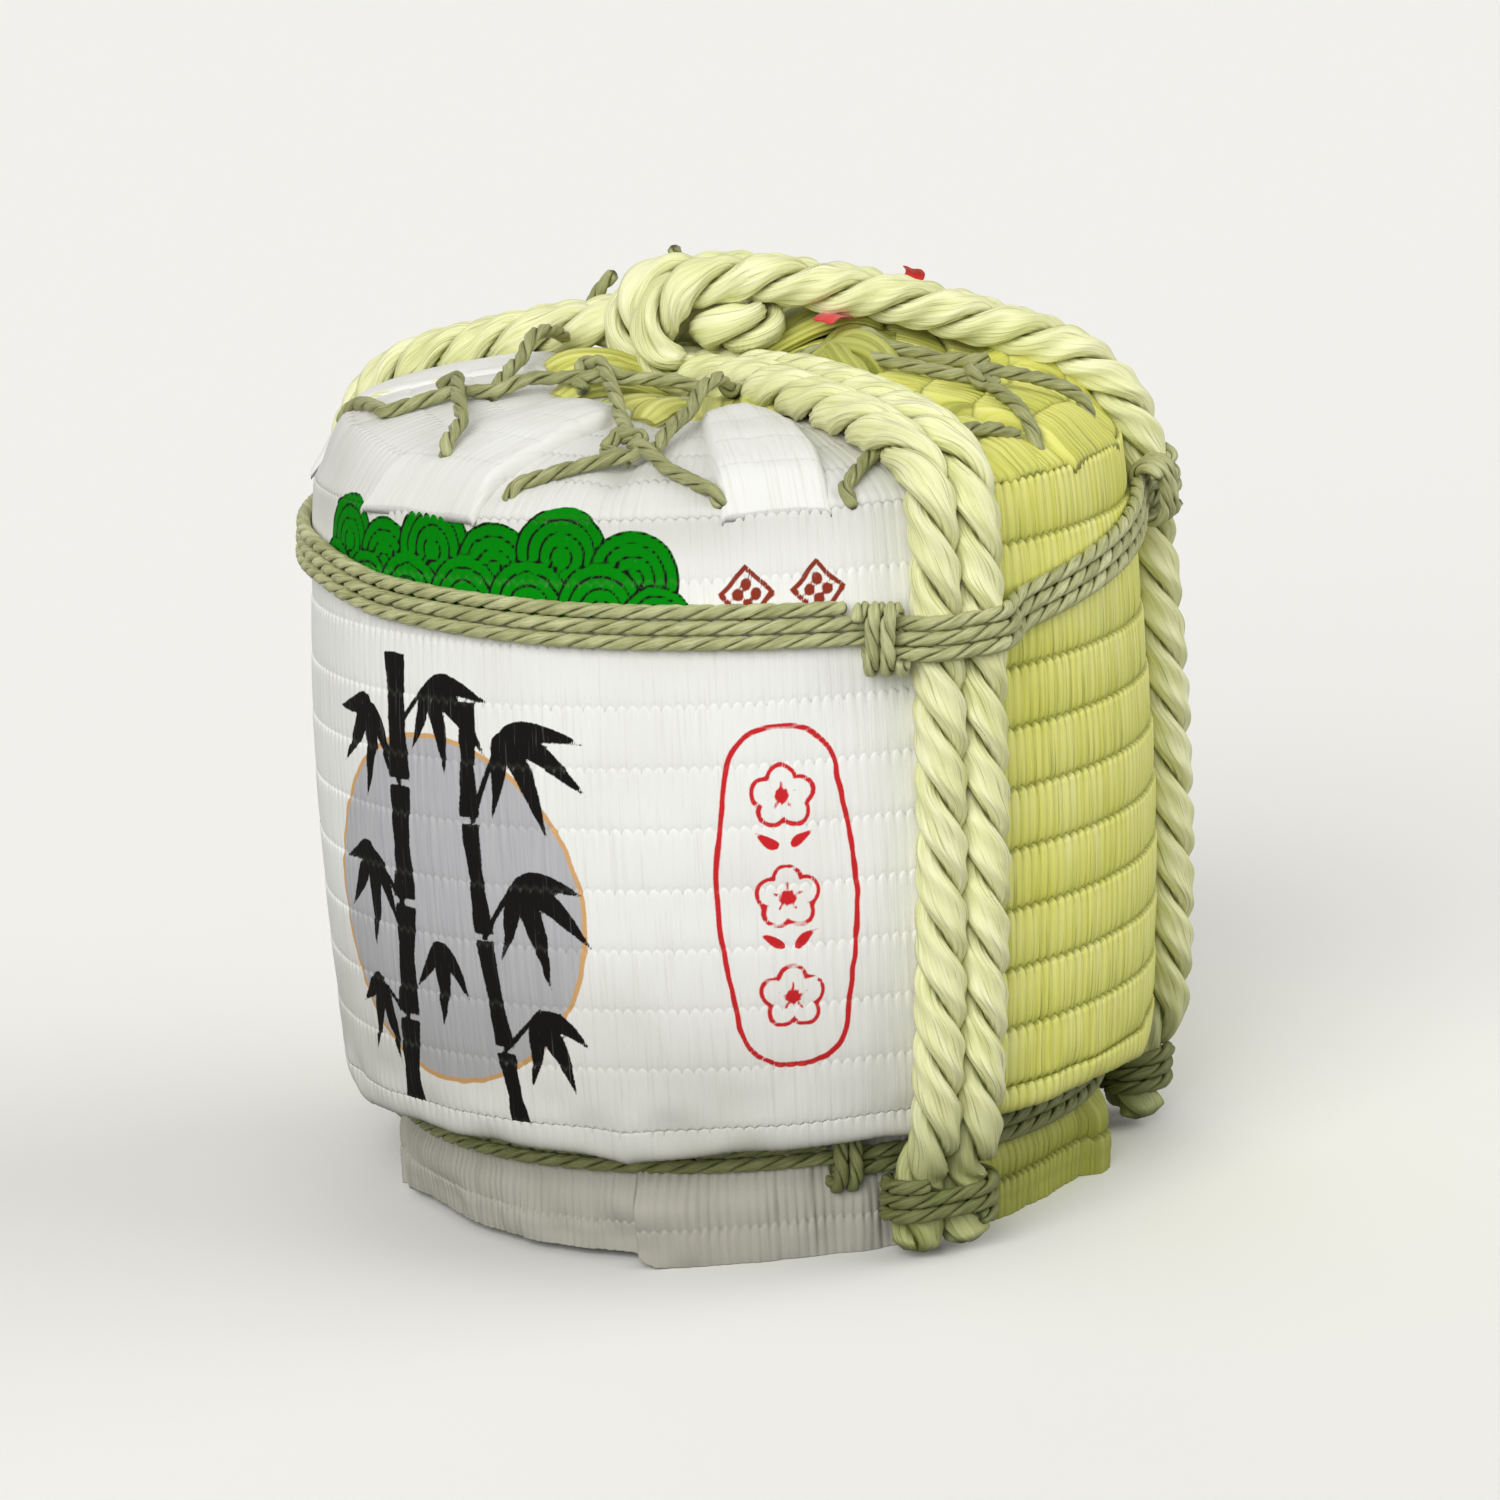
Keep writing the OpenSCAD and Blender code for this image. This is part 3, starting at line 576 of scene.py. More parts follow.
motif = {
    "moon": (-28, 255, 125),
    "stems": [
        [(-78, 98), (-70, 172), (-63, 256), (-60, 342), (-62, 436), 11.0],
        [(34, 96), (24, 160), (14, 240), (8, 322), (10, 408), 7.5],
    ],
    "twigs": [
        (-60, 342, -96, 398, 2.6), (-66, 256, -104, 292, 2.6),
        (10, 322, 40, 388, 2.4), (14, 240, 46, 284, 2.4), (-61, 380, -24, 418, 2.2),
        (24, 160, 56, 190, 2.2), (-71, 172, -108, 196, 2.2),
    ],
    "leaves": [  # root x and y, direction in degrees, length, width
        (40, 388, -8, 62, 15), (40, 388, -36, 76, 18), (38, 386, -66, 80, 17),
        (36, 386, -97, 62, 15), (-96, 398, 196, 46, 14), (-96, 398, 232, 66, 17),
        (-94, 396, 262, 72, 17), (-92, 394, 292, 52, 14), (-24, 418, -14, 54, 14),
        (-24, 418, -46, 70, 17), (-26, 416, -78, 66, 16), (-28, 414, -110, 50, 13),
        (46, 284, -12, 50, 14), (46, 284, -42, 72, 18), (44, 282, -74, 80, 18),
        (42, 280, -104, 58, 14), (-104, 292, 202, 40, 13), (-104, 292, 236, 62, 16),
        (-102, 290, 266, 74, 17), (-100, 288, 296, 58, 14), (56, 190, -34, 46, 13),
        (54, 188, -66, 62, 16), (52, 186, -98, 52, 14), (-108, 196, 222, 38, 12),
        (-106, 194, 254, 58, 15), (-104, 192, 286, 60, 15), (-30, 232, -58, 48, 13),
        (-30, 232, -92, 62, 16), (-30, 232, -126, 46, 12),
    ],
    "crests": [  # frieze of wave crests: centre x and y, radius
        (-124, 505, 34), (-74, 494, 33), (-20, 508, 36), (36, 496, 34), (90, 507, 36), (142, 492, 33),
        (-148, 474, 30), (-98, 470, 32), (-46, 472, 34), (10, 473, 34), (64, 472, 34), (118, 471, 33),
        (158, 462, 26),
    ],
    "friezeLow": 466,
    "cartouches": [237, -304],
    "flowers": [(221, 479), (271, 479), (-266, 479), (-318, 479)],
}


panel = {
    "middle": 270,
    "halfHeight": 118,
    "halfWidth": 42,
    "swell": 6,
    "corner": 30,
    "halfLine": 1.9,
    "blossoms": (340, 270, 200),
    "leaves": (305, 235),
}
blossom = {"petals": 5, "out": 12.5, "petal": 9.6, "halfLine": 1.5, "eye": 3.0, "spoke": 0.9}
noPrint = 60.0  # a distance from the print that leaves the mat bare


def rod(x, y, ax, ay, bx, by, first, last):
    dx, dy = bx - ax, by - ay
    t = np.clip(((x - ax) * dx + (y - ay) * dy) / (dx * dx + dy * dy), 0, 1)
    return np.hypot(x - ax - t * dx, y - ay - t * dy) - (first + (last - first) * t)


def leafBlade(x, y, ax, ay, turn, length, width):
    c, s = math.cos(math.radians(turn)), math.sin(math.radians(turn))
    u, v = (x - ax) * c + (y - ay) * s, -(x - ax) * s + (y - ay) * c
    f = np.clip(u / length, 0, 1)
    half = width / 2 * np.sin(np.pi * f**0.62) ** 0.9 * (1 - 0.25 * f)
    bow = 0.05 * length * np.sin(np.pi * f)
    past = np.maximum(np.maximum(-u, u - length), 0)
    return np.hypot(np.abs(v - bow), past) - half


def printFields(x, y):
    x, y = x + 0.8 * softNoise(x / 9, y / 9, 5), y + 0.8 * softNoise(x / 9, y / 9, 6)
    far = np.full(x.shape, noPrint)
    ink = far.copy()
    for stem in motif["stems"]:
        half = stem[-1]
        for i in range(len(stem) - 2):
            (ax, ay), (bx, by) = stem[i], stem[i + 1]
            ay, by = ay + 2.4, by - 2.4
            body = rod(x, y, ax, ay, bx, by, half, half * 0.94)
            waist = half * 0.12 * np.cos(np.clip((y - ay) / (by - ay), 0, 1) * 2 * np.pi)
            flatEnd = np.maximum(ay - y, y - by)
            ink = np.minimum(ink, np.maximum(body - waist, flatEnd))
    for ax, ay, bx, by, half in motif["twigs"]:
        ink = np.minimum(ink, rod(x, y, ax, ay, bx, by, half, half * 0.7))
    for blade in motif["leaves"]:
        ink = np.minimum(ink, leafBlade(x, y, *blade))
    mx, my, mr = motif["moon"]
    disc = np.hypot(x - mx, y - my) - mr
    green, line = far.copy(), far.copy()
    for cx, cy, radius in motif["crests"]:  # later crests lie over earlier ones
        d = np.hypot(x - cx, y - cy)
        inside = d < radius
        rings = np.min([np.abs(d - radius * f) for f in (0.97, 0.72, 0.47, 0.22)], axis=0) - 1.0
        line = np.where(inside, rings, np.minimum(line, np.abs(d - radius * 0.97) - 1.0))
        green = np.minimum(green, d - radius)
    below = motif["friezeLow"] - y
    green, line = np.maximum(green, below), np.maximum(line, below)
    red, brown = far.copy(), far.copy()
    for cx in motif["cartouches"]:  # the red outlined panels
        px, py = np.abs(x - cx), y - panel["middle"]
        half, corner = panel["halfHeight"], panel["corner"]
        waist = panel["halfWidth"] + panel["swell"] * np.cos(py / half * np.pi)
        beside, over = np.maximum(px - waist + corner, 0), np.maximum(np.abs(py) - half + corner, 0)
        box = np.hypot(beside, over) - corner
        box = np.maximum(box, np.maximum(px - waist, np.abs(py) - half))
        red = np.minimum(red, np.abs(box) - panel["halfLine"])
        for fy in panel["blossoms"]:
            part, out = 360 / blossom["petals"], blossom["out"]
            turns = [math.radians(part * k) for k in range(blossom["petals"])]
            petals = [np.hypot(x - cx - out * math.sin(t), y - fy - out * math.cos(t)) for t in turns]
            petal = np.abs(np.min(petals, axis=0) - blossom["petal"]) - blossom["halfLine"]
            red = np.minimum(red, petal)
            d = np.hypot(x - cx, y - fy)
            red = np.minimum(red, d - blossom["eye"])
            part = math.radians(part)
            spoke = np.abs((np.arctan2(x - cx, y - fy) / part + 0.5) % 1 - 0.5) * part * d
            spoke = np.maximum(spoke - blossom["spoke"], np.abs(d - 7.5) - 3.2)
            red = np.minimum(red, spoke)
        for fy in panel["leaves"]:
            for sx in (-1, 1):
                red = np.minimum(red, leafBlade(x, y, cx + sx * 4, fy, 90 - sx * 55, 20, 8))
    for cx, cy in motif["flowers"]:
        px, py = np.abs(x - cx), np.abs(y - cy)
        rim = np.abs((px + py) * 0.7071 - 13.0) - 1.7
        petals = np.hypot(px - 6.6, py) - 4.1
        petals = np.minimum(petals, np.hypot(px, py - 6.6) - 4.1)
        brown = np.minimum(brown, np.minimum(rim, petals))
    return dict(zip(printNames, (ink, disc, green, line, red, brown)))


# the stitched straw mats

weave = {
    "bundle": {"white_mat": 7.9, "green_mat": 8.6},
    "perBundle": 5,
    "scallop": {"white_mat": 1.9, "green_mat": 2.3},
    "ridge": {"white_mat": 0.4, "green_mat": 1.0},
    "swell": {"white_mat": 0.34, "green_mat": 1.3},
    "steps": [
        0, 0.018, 0.04, 0.075, 0.12, 0.18, 0.25, 0.325, 0.4, 0.48,
        0.56, 0.635, 0.705, 0.77, 0.83, 0.885, 0.925, 0.958, 0.982,
    ],
}


def matProfile():
    wall = [(float(wallR(z)), z) for z in np.linspace(lowZ + 6, topZ - 8, 24)]
    keys = [
        (255.5, 0), (256.4, 6), (257, 26), (256.6, 44), (253.2, 53),
        (252.4, 60), (252.4, 76), (254.5, 84), (262, 87.6), (274, 88.6),
        (286, 89.1), (292.2, 90.2), (295.6, 93.4), (297.2, 99), (298.2, lowZ),
    ]
    top = [(shoulderR - d, topZ + h) for d, h in domeRise if d < 216]
    top[0] = (shoulderR - 0.2, topZ - 0.4)
    line, along = smoothLine(np.array([(r, z, 0) for r, z in keys + wall + top]), 0.5)
    r, z = line[:, 0], line[:, 1]
    tr, tz = np.gradient(r, along), np.gradient(z, along)
    size = np.hypot(tr, tz)
    start = along[np.argmax(z >= lowZ)]
    return {"s": along - start, "r": r, "z": z, "nr": tz / size, "nz": -tr / size}


profile = matProfile()


def profileAt(s):
    return tuple(np.interp(s, profile["s"], profile[k]) for k in ("r", "z", "nr", "nz"))


onWall = profile["s"] > -8
wallSeams = [
    float(np.interp(lowZ + k * drum["rowPitch"], profile["z"][onWall], profile["s"][onWall]))
    for k in range(drum["rows"] + 1)
]
skirtShape = np.array([
    (-82, 0), (-66, 3), (-52, 5), (-47.6, 7), (-46.6, -6), (-45, 3), (-40, 0), (-30, -5), (-20, -6),
    (-8, -4), (6, -1), (17.5, 1), (19.2, 2), (20.4, 19), (23, 20), (27, 13), (34, 6), (50, 1),
    (67, 0), (84, -2), (98, -6), (106, -5), (108, 8), (111.5, 12), (115, 8), (116.6, -4), (120, -1),
    (138, 0), (150, 3), (157, 5), (158.4, -5), (162, 2), (176, -5), (194, 3), (205, 5),
    (206.5, 14), (212, 12), (220, -2), (236, 3), (250, 4), (251.5, -6), (256, -2), (266, 2),
    (278, 0),
], float)


def creaseShape(a, s):
    # by direction: how far skirt and hem move outward, and how far they rise or droop
    low = ease(-66, -100, s)
    fold = softNoise(a / 5.5 + 40, s / 26 + 3, 4)
    loose = ease(34, -8, s)
    r = np.interp(a, skirtShape[:, 0], skirtShape[:, 1]) * (0.1 + 0.9 * low) * ease(-18, -40, s)
    r = r + 2.6 * fold * loose + 1.2 * softNoise(a / 2.1 + 70, s / 60, 5) * ease(-40, -80, s)
    point = np.exp(-np.abs(a - 21) / 7.0) + 0.4 * np.exp(-np.abs(a + 30) / 6.0)
    point = point + 0.5 * np.exp(-np.abs(a - 112) / 6.0)
    droop = (-9.0 * point + 2.2 * softNoise(a / 7 + 20, 0.3, 6)) * ease(8, -12, s) * ease(-62, -44, s)
    lift = 6.5 * ease(-46.4, -38, a) * ease(20, 18.6, a) * ease(-110, -150, s)
    lift = lift + 9.0 * np.exp(-np.maximum(a - 20.4, 0) / 1.6) * (a > 19.5) * ease(-125, -150, s)
    return r, droop + lift


def rowSwell(f):
    return np.interp(
        f,
        [0, 0.02, 0.06, 0.14, 0.3, 0.55, 0.8, 0.92, 0.962, 0.985, 1.0],
        [-1.7, -1.1, -0.45, 0.1, 0.6, 0.9, 1.15, 1.3, 1.05, 0.3, -1.7],
    )


def ridgeHeight(f):
    return np.interp(
        f,
        [0, 0.05, 0.15, 0.4, 0.7, 0.88, 0.97, 1.0],
        [1.35, 1.15, 0.75, 0.5, 0.45, 0.75, 1.15, 1.35],
    )


def rowPlaces(seams, steps):
    s, f = [], []
    for low, high in zip(seams[:-1], seams[1:]):
        s += [low + t * (high - low) for t in steps]
        f += list(steps)
    return np.array(s + [seams[-1]]), np.array(f + [1.0])


def bundleColumns(start, to, slot):
    count = max(4, round(math.radians(to - start) * drum["fullRadius"] / weave["bundle"][slot]))
    n = count * weave["perBundle"] + 1
    part = (np.arange(n) % weave["perBundle"]) / weave["perBundle"]
    return np.linspace(start, to, n), part, np.arange(n) // weave["perBundle"]


def matSheet(
    name, start, to, seams, steps, look, slot, ridge, edgeSeams=(True, True), printed=False, extra=None
):
    white = slot == "white_mat"
    a, part, bundle = bundleColumns(start, to, slot)
    s, f = rowPlaces(seams, steps)
    pitch = np.median(np.diff(seams))
    sGrid, aGrid = np.meshgrid(s, a, indexing="ij")
    fGrid = np.broadcast_to(f[:, None], sGrid.shape)
    middle = 1 - np.abs(2 * part - 1) ** 2.2  # 0 in the gap between bundles, 1 on a bundle
    toSeam = np.minimum(fGrid, 1 - fGrid) * pitch
    if not edgeSeams[0]:
        toSeam = np.where(sGrid < seams[0] + pitch / 2, 99, toSeam)
    if not edgeSeams[1]:
        toSeam = np.where(sGrid > seams[-1] - pitch / 2, 99, toSeam)
    near = np.exp(-((toSeam / 5.5) ** 2))
    wave = 1 - 2 * np.abs(2 * part - 1) ** 1.5  # round tips with a cusp between
    held = np.ones_like(sGrid)
    held[0], held[-1] = 0, 0
    sShift = sGrid + weave["scallop"][slot] * wave[None] * near * held
    acrossMat = np.sin(np.pi * (aGrid - start) / (to - start)) ** 0.3
    wander = 1.6 * softNoise(aGrid / 7, sGrid / 120, 1) * acrossMat
    aShift = aGrid + np.degrees(wander / 300)
    r, z, nr, nz = profileAt(sShift)
    swell = np.where(toSeam > 90, 0.4, rowSwell(fGrid))
    height = ridge * ridgeHeight(np.where(toSeam > 90, 0.5, fGrid))
    size = 0.55 + 0.9 * luck.random(bundle[-1] + 1)[bundle]
    tone = luck.random(bundle[-1] + 1)[bundle]
    gaping = luck.random(bundle[-1] + 1)[bundle]
    hole = 0.25 + 0.75 * gaping * (0.5 + 0.5 * softNoise(aGrid * 0.9, sGrid / 30, 7))
    swell = swell * weave["swell"][slot]
    stitch = (0.5 if white else 0.9) * near * (part == 0)[None]
    bump = swell - height * (1 - middle)[None] * size[None] - stitch
    bump = bump + 0.7 * softNoise(aGrid / 9, sGrid / 50, 2)
    bump = bump + 0.3 * softNoise(aGrid * 1.3, sGrid / 25, 3) * ridge
    if extra is not None:
        bump = bump + extra(aGrid, r)
    dr, droop = creaseShape(aShift, sGrid)
    outer = at(aShift, r + nr * bump + dr, np.maximum(z + nz * bump + droop, 0))
    inS = np.linspace(seams[0], seams[-1], 7)
    sIn, aIn = np.meshgrid(inS, a, indexing="ij")
    r, z, nr, nz = profileAt(sIn)
    thick = drum["matThickness"] - 1.5
    dr, droop = creaseShape(aIn, sIn)
    inner = at(aIn, r - nr * thick + dr, np.maximum(z - nz * thick + droop, 0))
    x = np.radians(aShift) * drum["fullRadius"]
    flatS = sShift if white else sGrid
    hole = hole if white else 1.0
    # painted shade: the white wall darker towards the bottom and over the top rows, the green wall darker
    # near the bottom
    foot = 0.6 * ease(170, -5, sGrid) + 0.42 * ease(370, 430, sGrid) if white else 0.12 * ease(60, 0, sGrid)
    values = {
        "lay": np.stack([x * mm, flatS * mm, np.zeros_like(x)], -1),
        # painted shade: darker along the stitch lines, in the valleys between bundles and in the stitch
        # holes
        "seam": np.exp(-((toSeam / 1.6) ** 2)),
        "valley": np.broadcast_to((1 - middle)[None], x.shape) * (0.45 + 0.55 * near),
        "pit": np.exp(-((toSeam / (1.3 if white else 2.4)) ** 2)) * (part == 0)[None] * hole,
        "tone": np.broadcast_to(tone[None], x.shape),
        "wear": np.zeros_like(x),
        "shade": np.where(toSeam > 90, 0.4, np.interp(fGrid, [0, 0.3, 0.7, 1], [1, 0.75, 0.2, 0.0])),
        # the skirt darker: partly dirt, partly painted shade under the hem
        "grime": ease(-2, -40, sGrid) * 0.85 + foot,
        "bare": np.zeros_like(x),
    }
    if white:
        fields = dict.fromkeys(printNames, np.full(x.shape, noPrint))
        if printed:
            fields = printFields(x, sShift + lowZ)
        values.update({k: v * mm for k, v in fields.items()})
    return shellMesh(name, outer, inner, values, look, slot)


heaps = {  # where the real top stands above the plain dome: height, direction, width in degrees
    "left": (28, -49, 33),
    "rear": (31, 160, 38),
    "rearRim": (8, 160, 17),
    "middle": (18, 158, 42),
}
valleys = [(22.5, 15), (-41, 19), (105, 11), (175, 12), (215, 12), (255, 12)]  # direction, lace spread
valleyShape = {"depth": 7, "halfWidth": 12, "reach": 60}


def heap(name, a):
    height, place, width = heaps[name]
    return height * np.exp(-((turnBetween(a, place) / width) ** 2))


def surfaceLift(a, r):
    left = heap("left", a) * ease(292, 252, r)
    rear = heap("rear", a) * ease(290, 222, r)
    rear = rear + heap("rearRim", a) * ease(292, 264, r) * ease(200, 235, r)
    middle = heap("middle", a) * ease(195, 120, r)
    return (left + rear + middle) * ease(60, 100, r)


def topFolds(a, r):  # the lacing pulls the top down along the valleys
    sink = np.zeros_like(r)
    for place, _ in valleys:
        x = r * np.sin(np.radians(a - place))
        fold = valleyShape["depth"] * np.exp(-((x / valleyShape["halfWidth"]) ** 2))
        fold = fold * ease(282, 235, r) * ease(70, 110, r)
        sink = sink - fold * (np.abs(a - place) < valleyShape["reach"])
    return sink


def topShape(a, r):
    return topFolds(a, r) + surfaceLift(a, r)


seamEdge = 0.12
skirtStart = float(profile["s"][0])
underHem = profile["s"] < -5
hemSeam = float(np.interp(268, profile["r"][underHem], profile["s"][underHem]))
skirtSeams = [skirtStart, skirtStart + 27, skirtStart + 27 + 42, hemSeam]
skirtSteps = [0, 0.03, 0.08, 0.16, 0.26, 0.38, 0.5, 0.62, 0.74, 0.84, 0.92, 0.97]
topSeams = [wallSeams[-1] + k * drum["rowPitch"] for k in range(5)] + [float(profile["s"][-1])]


def makeMats():
    for label, a0, a1, look, slot in (
        ("frontMat", legA + seamEdge, legB - seamEdge, whiteMat, "white_mat"),
        ("sideMat", legB + seamEdge, legC, greenMat, "green_mat"),
        ("rearMat", legC, legA + 360 - seamEdge, greenMat, "green_mat"),
    ):
        ridge, steps = weave["ridge"][slot], weave["steps"]
        wall = matSheet(label + "Wall", a0, a1, wallSeams, steps, look, slot, ridge, printed=True)
        matSheet(
            label + "Top", a0, a1, topSeams, steps[::2], look, slot, ridge,
            edgeSeams=(True, False), printed=True, extra=topShape,
        )
        hemSeams = [hemSeam, wallSeams[0]]
        matSheet(label + "Hem", a0, a1, hemSeams, steps, look, slot, ridge * 1.2, edgeSeams=(False, True))
        matSheet(label + "Skirt", a0, a1, skirtSeams, skirtSteps, look, slot, 1.4, edgeSeams=(False, False))
    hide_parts("mat_front")
    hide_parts("mat_rear")


makeMats()
print("mats stitched")

# folded tongues and raw straw on top

tongues = {  # a: direction, end: radius of the inner edge, widths: (radius, left half, right half)
    "tongueFrontRight": dict(
        a=46.5, lift=9.5, end=100, white=True,
        widths=[(292, 40, 36), (230, 38, 40), (180, 34, 34), (140, 30, 21), (108, 24, 10)],
    ),
    "tongueFront": dict(
        a=-7.5, lift=7.5, end=98, white=True,
        widths=[(290, 58, 60), (230, 52, 54), (180, 48, 48), (140, 44, 42), (104, 36, 34)],
    ),
    "tongueLeft": dict(
        a=-64, lift=9, end=98, white=True,
        widths=[(290, 52, 56), (230, 48, 52), (180, 42, 46), (140, 38, 42), (104, 32, 38)],
    ),
    "tongueSeam": dict(
        a=87, lift=4.5, end=192, white=False,
        widths=[(289, 24, 24), (240, 24, 26), (196, 20, 22)],
    ),
    "tongueSide": dict(
        a=106, lift=10, end=108, white=False,
        widths=[(292, 50, 50), (240, 48, 48), (190, 40, 38), (150, 30, 28), (112, 24, 24)],
    ),
    "tongueRear": dict(
        a=160, lift=8, end=108, white=False,
        widths=[(291, 38, 38), (230, 36, 36), (170, 32, 30), (120, 24, 24)],
    ),
    "tongueRearMiddle": dict(
        a=195, lift=9, end=104, white=False,
        widths=[(291, 42, 42), (230, 40, 40), (170, 36, 34), (120, 26, 26)],
    ),
    "tongueRearLeft": dict(
        a=235, lift=9, end=106, white=False,
        widths=[(291, 44, 44), (230, 42, 42), (170, 36, 36), (120, 26, 28)],
    ),
}
underRope = dict(  # one more under the rear ropes, kept apart because no lacing crosses it
    a=139.5, lift=9.0, end=190, white=False, widths=[(291, 31, 31), (240, 30, 30), (196, 26, 26)]
)
tongueWeave = {"bundle": 7.4, "perBundle": 6}


def makeTongue(name, a, widths, lift, end, white):
    rows = np.array(widths, float)[::-1]
    above = profile["s"] > wallSeams[-1]
    s0 = wallSeams[-1] + 1
    s1 = float(np.interp(-end, -profile["r"][above], profile["s"][above]))
    seams = [s for s in topSeams if s < s1 - 8] + [s1]
    seams[0] = s0
    s, f = rowPlaces(seams, weave["steps"][::2])
    r = profileAt(s)[0]
    left, right = np.interp(r, rows[:, 0], rows[:, 1]), np.interp(r, rows[:, 0], rows[:, 2])
    across = 2 * round((left[0] + right[0]) / tongueWeave["bundle"] / 2)
    per = tongueWeave["perBundle"]
    n = across * per + 1
    u = np.linspace(-1, 1, n)
    part = (np.arange(n) % per) / per
    middle = 1 - np.abs(2 * part - 1) ** 2.2
    sGrid, uGrid = np.meshgrid(s, u, indexing="ij")
    half = np.where(uGrid < 0, left[:, None], right[:, None])
    seed = seedOf(name)
    ragged = (s1 - s0) * 0.05
    half = half + 1.6 * softNoise(sGrid / 24 + seed, uGrid * 0.6, 4) * (np.abs(uGrid) > 0.8)
    x = uGrid * half
    toEnd = s1 - sGrid
    endShift = 3.5 * softNoise(uGrid * across * 0.35 + seed, 0.5, 5) * ease(ragged * 3, 0, toEnd)
    rr = r[:, None] - endShift
    drop = np.maximum(0, (np.abs(x) - (half - 7)) / 7)
    edgeDrop = np.sqrt(np.maximum(0, 1 - drop**2))
    climb = ease(s0, s0 + 34, sGrid)
    height = lift * climb * (0.85 + 0.15 * (1 - uGrid**2)) + 1.6 * (1 - np.abs(uGrid) ** 3)
    curl = 12 * ease(34, 0, toEnd) ** 1.5
    toSeam = np.minimum(f, 1 - f)[:, None] * drum["rowPitch"]
    near = np.exp(-((toSeam / 5.5) ** 2)) * np.ones_like(uGrid)
    ridge = 1.1 if not white else 0.3
    stitch = (0.2 if white else 0.7) * near * (part == 0)[None]
    bump = rowSwell(f)[:, None] * (0.12 if white else 0.5)
    bump = bump - ridge * ridgeHeight(f)[:, None] * (1 - middle)[None] - stitch
    bump = bump + 1.1 * softNoise(uGrid * 2.2 + seed, sGrid / 40, 2)
    bump = bump + 0.5 * softNoise(uGrid * 6 + seed, sGrid / 18, 3)
    down = (height + 5) * (1 - edgeDrop)
    top = domeZ(rr) + surfaceLift(a, rr) + height + bump * edgeDrop - down - curl
    outer = at(a, rr, top, x)
    pick = np.linspace(0, len(s) - 1, 8).astype(int)
    under = domeZ(rr[pick]) + surfaceLift(a, rr[pick]) - 5 - curl[pick]
    inner = at(a, rr[pick], np.minimum(under, top[pick] - 2.5), x[pick] * 0.985)
    rim = np.exp(-(((np.abs(x) - half + 4) / 3.5) ** 2))
    values = {
        "lay": np.stack([x * mm, sGrid * mm, np.zeros_like(x) + seed], -1),
        # painted shade along the stitch lines, in the valleys between bundles and in the stitch holes
        "seam": np.exp(-((toSeam / 1.6) ** 2)) * np.ones_like(x) * (0.3 if white else 1.0),
        "valley": np.broadcast_to((1 - middle)[None], x.shape) * (0.45 + 0.55 * near),
        "pit": np.exp(-((toSeam / 1.2) ** 2)) * (part == 0)[None] * (0.25 if white else 1.0),
        # painted shade: the tongues a little darker all over
        "grime": np.full_like(x, 0.22 if white else 0.1),
        "tone": np.broadcast_to(luck.random(across + 1)[np.arange(n) // per][None], x.shape),
        "shade": np.interp(f, [0, 0.3, 0.7, 1], [1, 0.75, 0.2, 0.0])[:, None] * np.ones_like(x),
        "wear": 0.62 * rim * (0.5 + 0.5 * softNoise(sGrid / 16, uGrid * 3 + seed, 6)),
        "bare": ease(16, 0, toEnd) * 0.95,
    }
    slot = "white_mat" if white else "green_mat"
    if white:
        values.update(dict.fromkeys(printNames, np.full(x.shape, noPrint * mm)))
    return shellMesh(name, outer, inner, values, whiteMat if white else greenMat, slot)


def seedOf(name):  # a fixed number for each name, to vary the noise
    return sum(ord(c) * (i + 3) for i, c in enumerate(name)) % 17 + 0.37


for label, shape in tongues.items():
    makeTongue(label, **shape)

tuft = {"count": 22, "width": 17.0, "thickness": 8.0, "from": 122.0}
crownTuft = {
    "count": 17,
    "from": 78,  # degrees
    "apart": 9.5,
    "heights": [(78, 62), (112, 74), (124, 78), (158, 78), (168, 93), (200, 90), (215, 66), (240, 60)],
}


def makeTuft(name, route, halfWidth, halfThick, turn=0.0, fibres=9):
    line, along = smoothLine(route, 3.0)
    normal, side = lineFrame(line, (0, 0, 1))
    n = 36
    phi = np.linspace(0, 2 * np.pi, n, endpoint=False)
    f = along / along[-1]
    grow = np.interp(f, [0, 0.08, 0.4, 0.8, 1.0], [0.7, 0.95, 1.0, 0.85, 0.25])
    lump = 1 + 0.09 * np.cos(fibres * phi[None] + 2.2 * f[:, None])
    lump = lump + 0.05 * np.cos((2 * fibres + 3) * phi[None] - 4 * f[:, None])
    w = halfWidth * grow[:, None] * lump * np.cos(phi + turn)[None]
    h = halfThick * grow[:, None] * lump * np.sin(phi + turn)[None]
    points = line[:, None] + w[..., None] * side[:, None] + h[..., None] * normal[:, None]
    rows = len(line)
    faces = list(gridFaces(rows, n, True)) + [list(range(n))[::-1], [(rows - 1) * n + k for k in range(n)]]
    flat = points.reshape(-1, 3)
    seed = seedOf(name)
    aroundTuft = np.broadcast_to(phi[None] * halfWidth * mm * 0.7, w.shape)
    lay = np.stack([aroundTuft, np.broadcast_to(along[:, None] * mm, w.shape), np.full(w.shape, seed)], -1)
    # painted shade in the hollows between the fibre lumps
    valley = np.clip(0.5 - (lump - 1) * 5, 0, 1)
    values = {
        "lay": lay.reshape(-1, 3),
        "valley": (valley * 0.8).ravel(),
        "seam": np.zeros(w.size),
        "pit": np.zeros(w.size),
        "shade": np.broadcast_to(ease(0.3, 1.0, f)[:, None], w.shape).ravel() * 0.9,
        "tone": np.full(w.size, float(luck.random())),
        # darker: painted shadow on the crown tufts under the rear rope, a little on the others
        "grime": np.full(w.size, 0.75 if name.startswith("crown") else 0.3),
    }
    return storeMesh(name, flat, faces, values, greenMat)


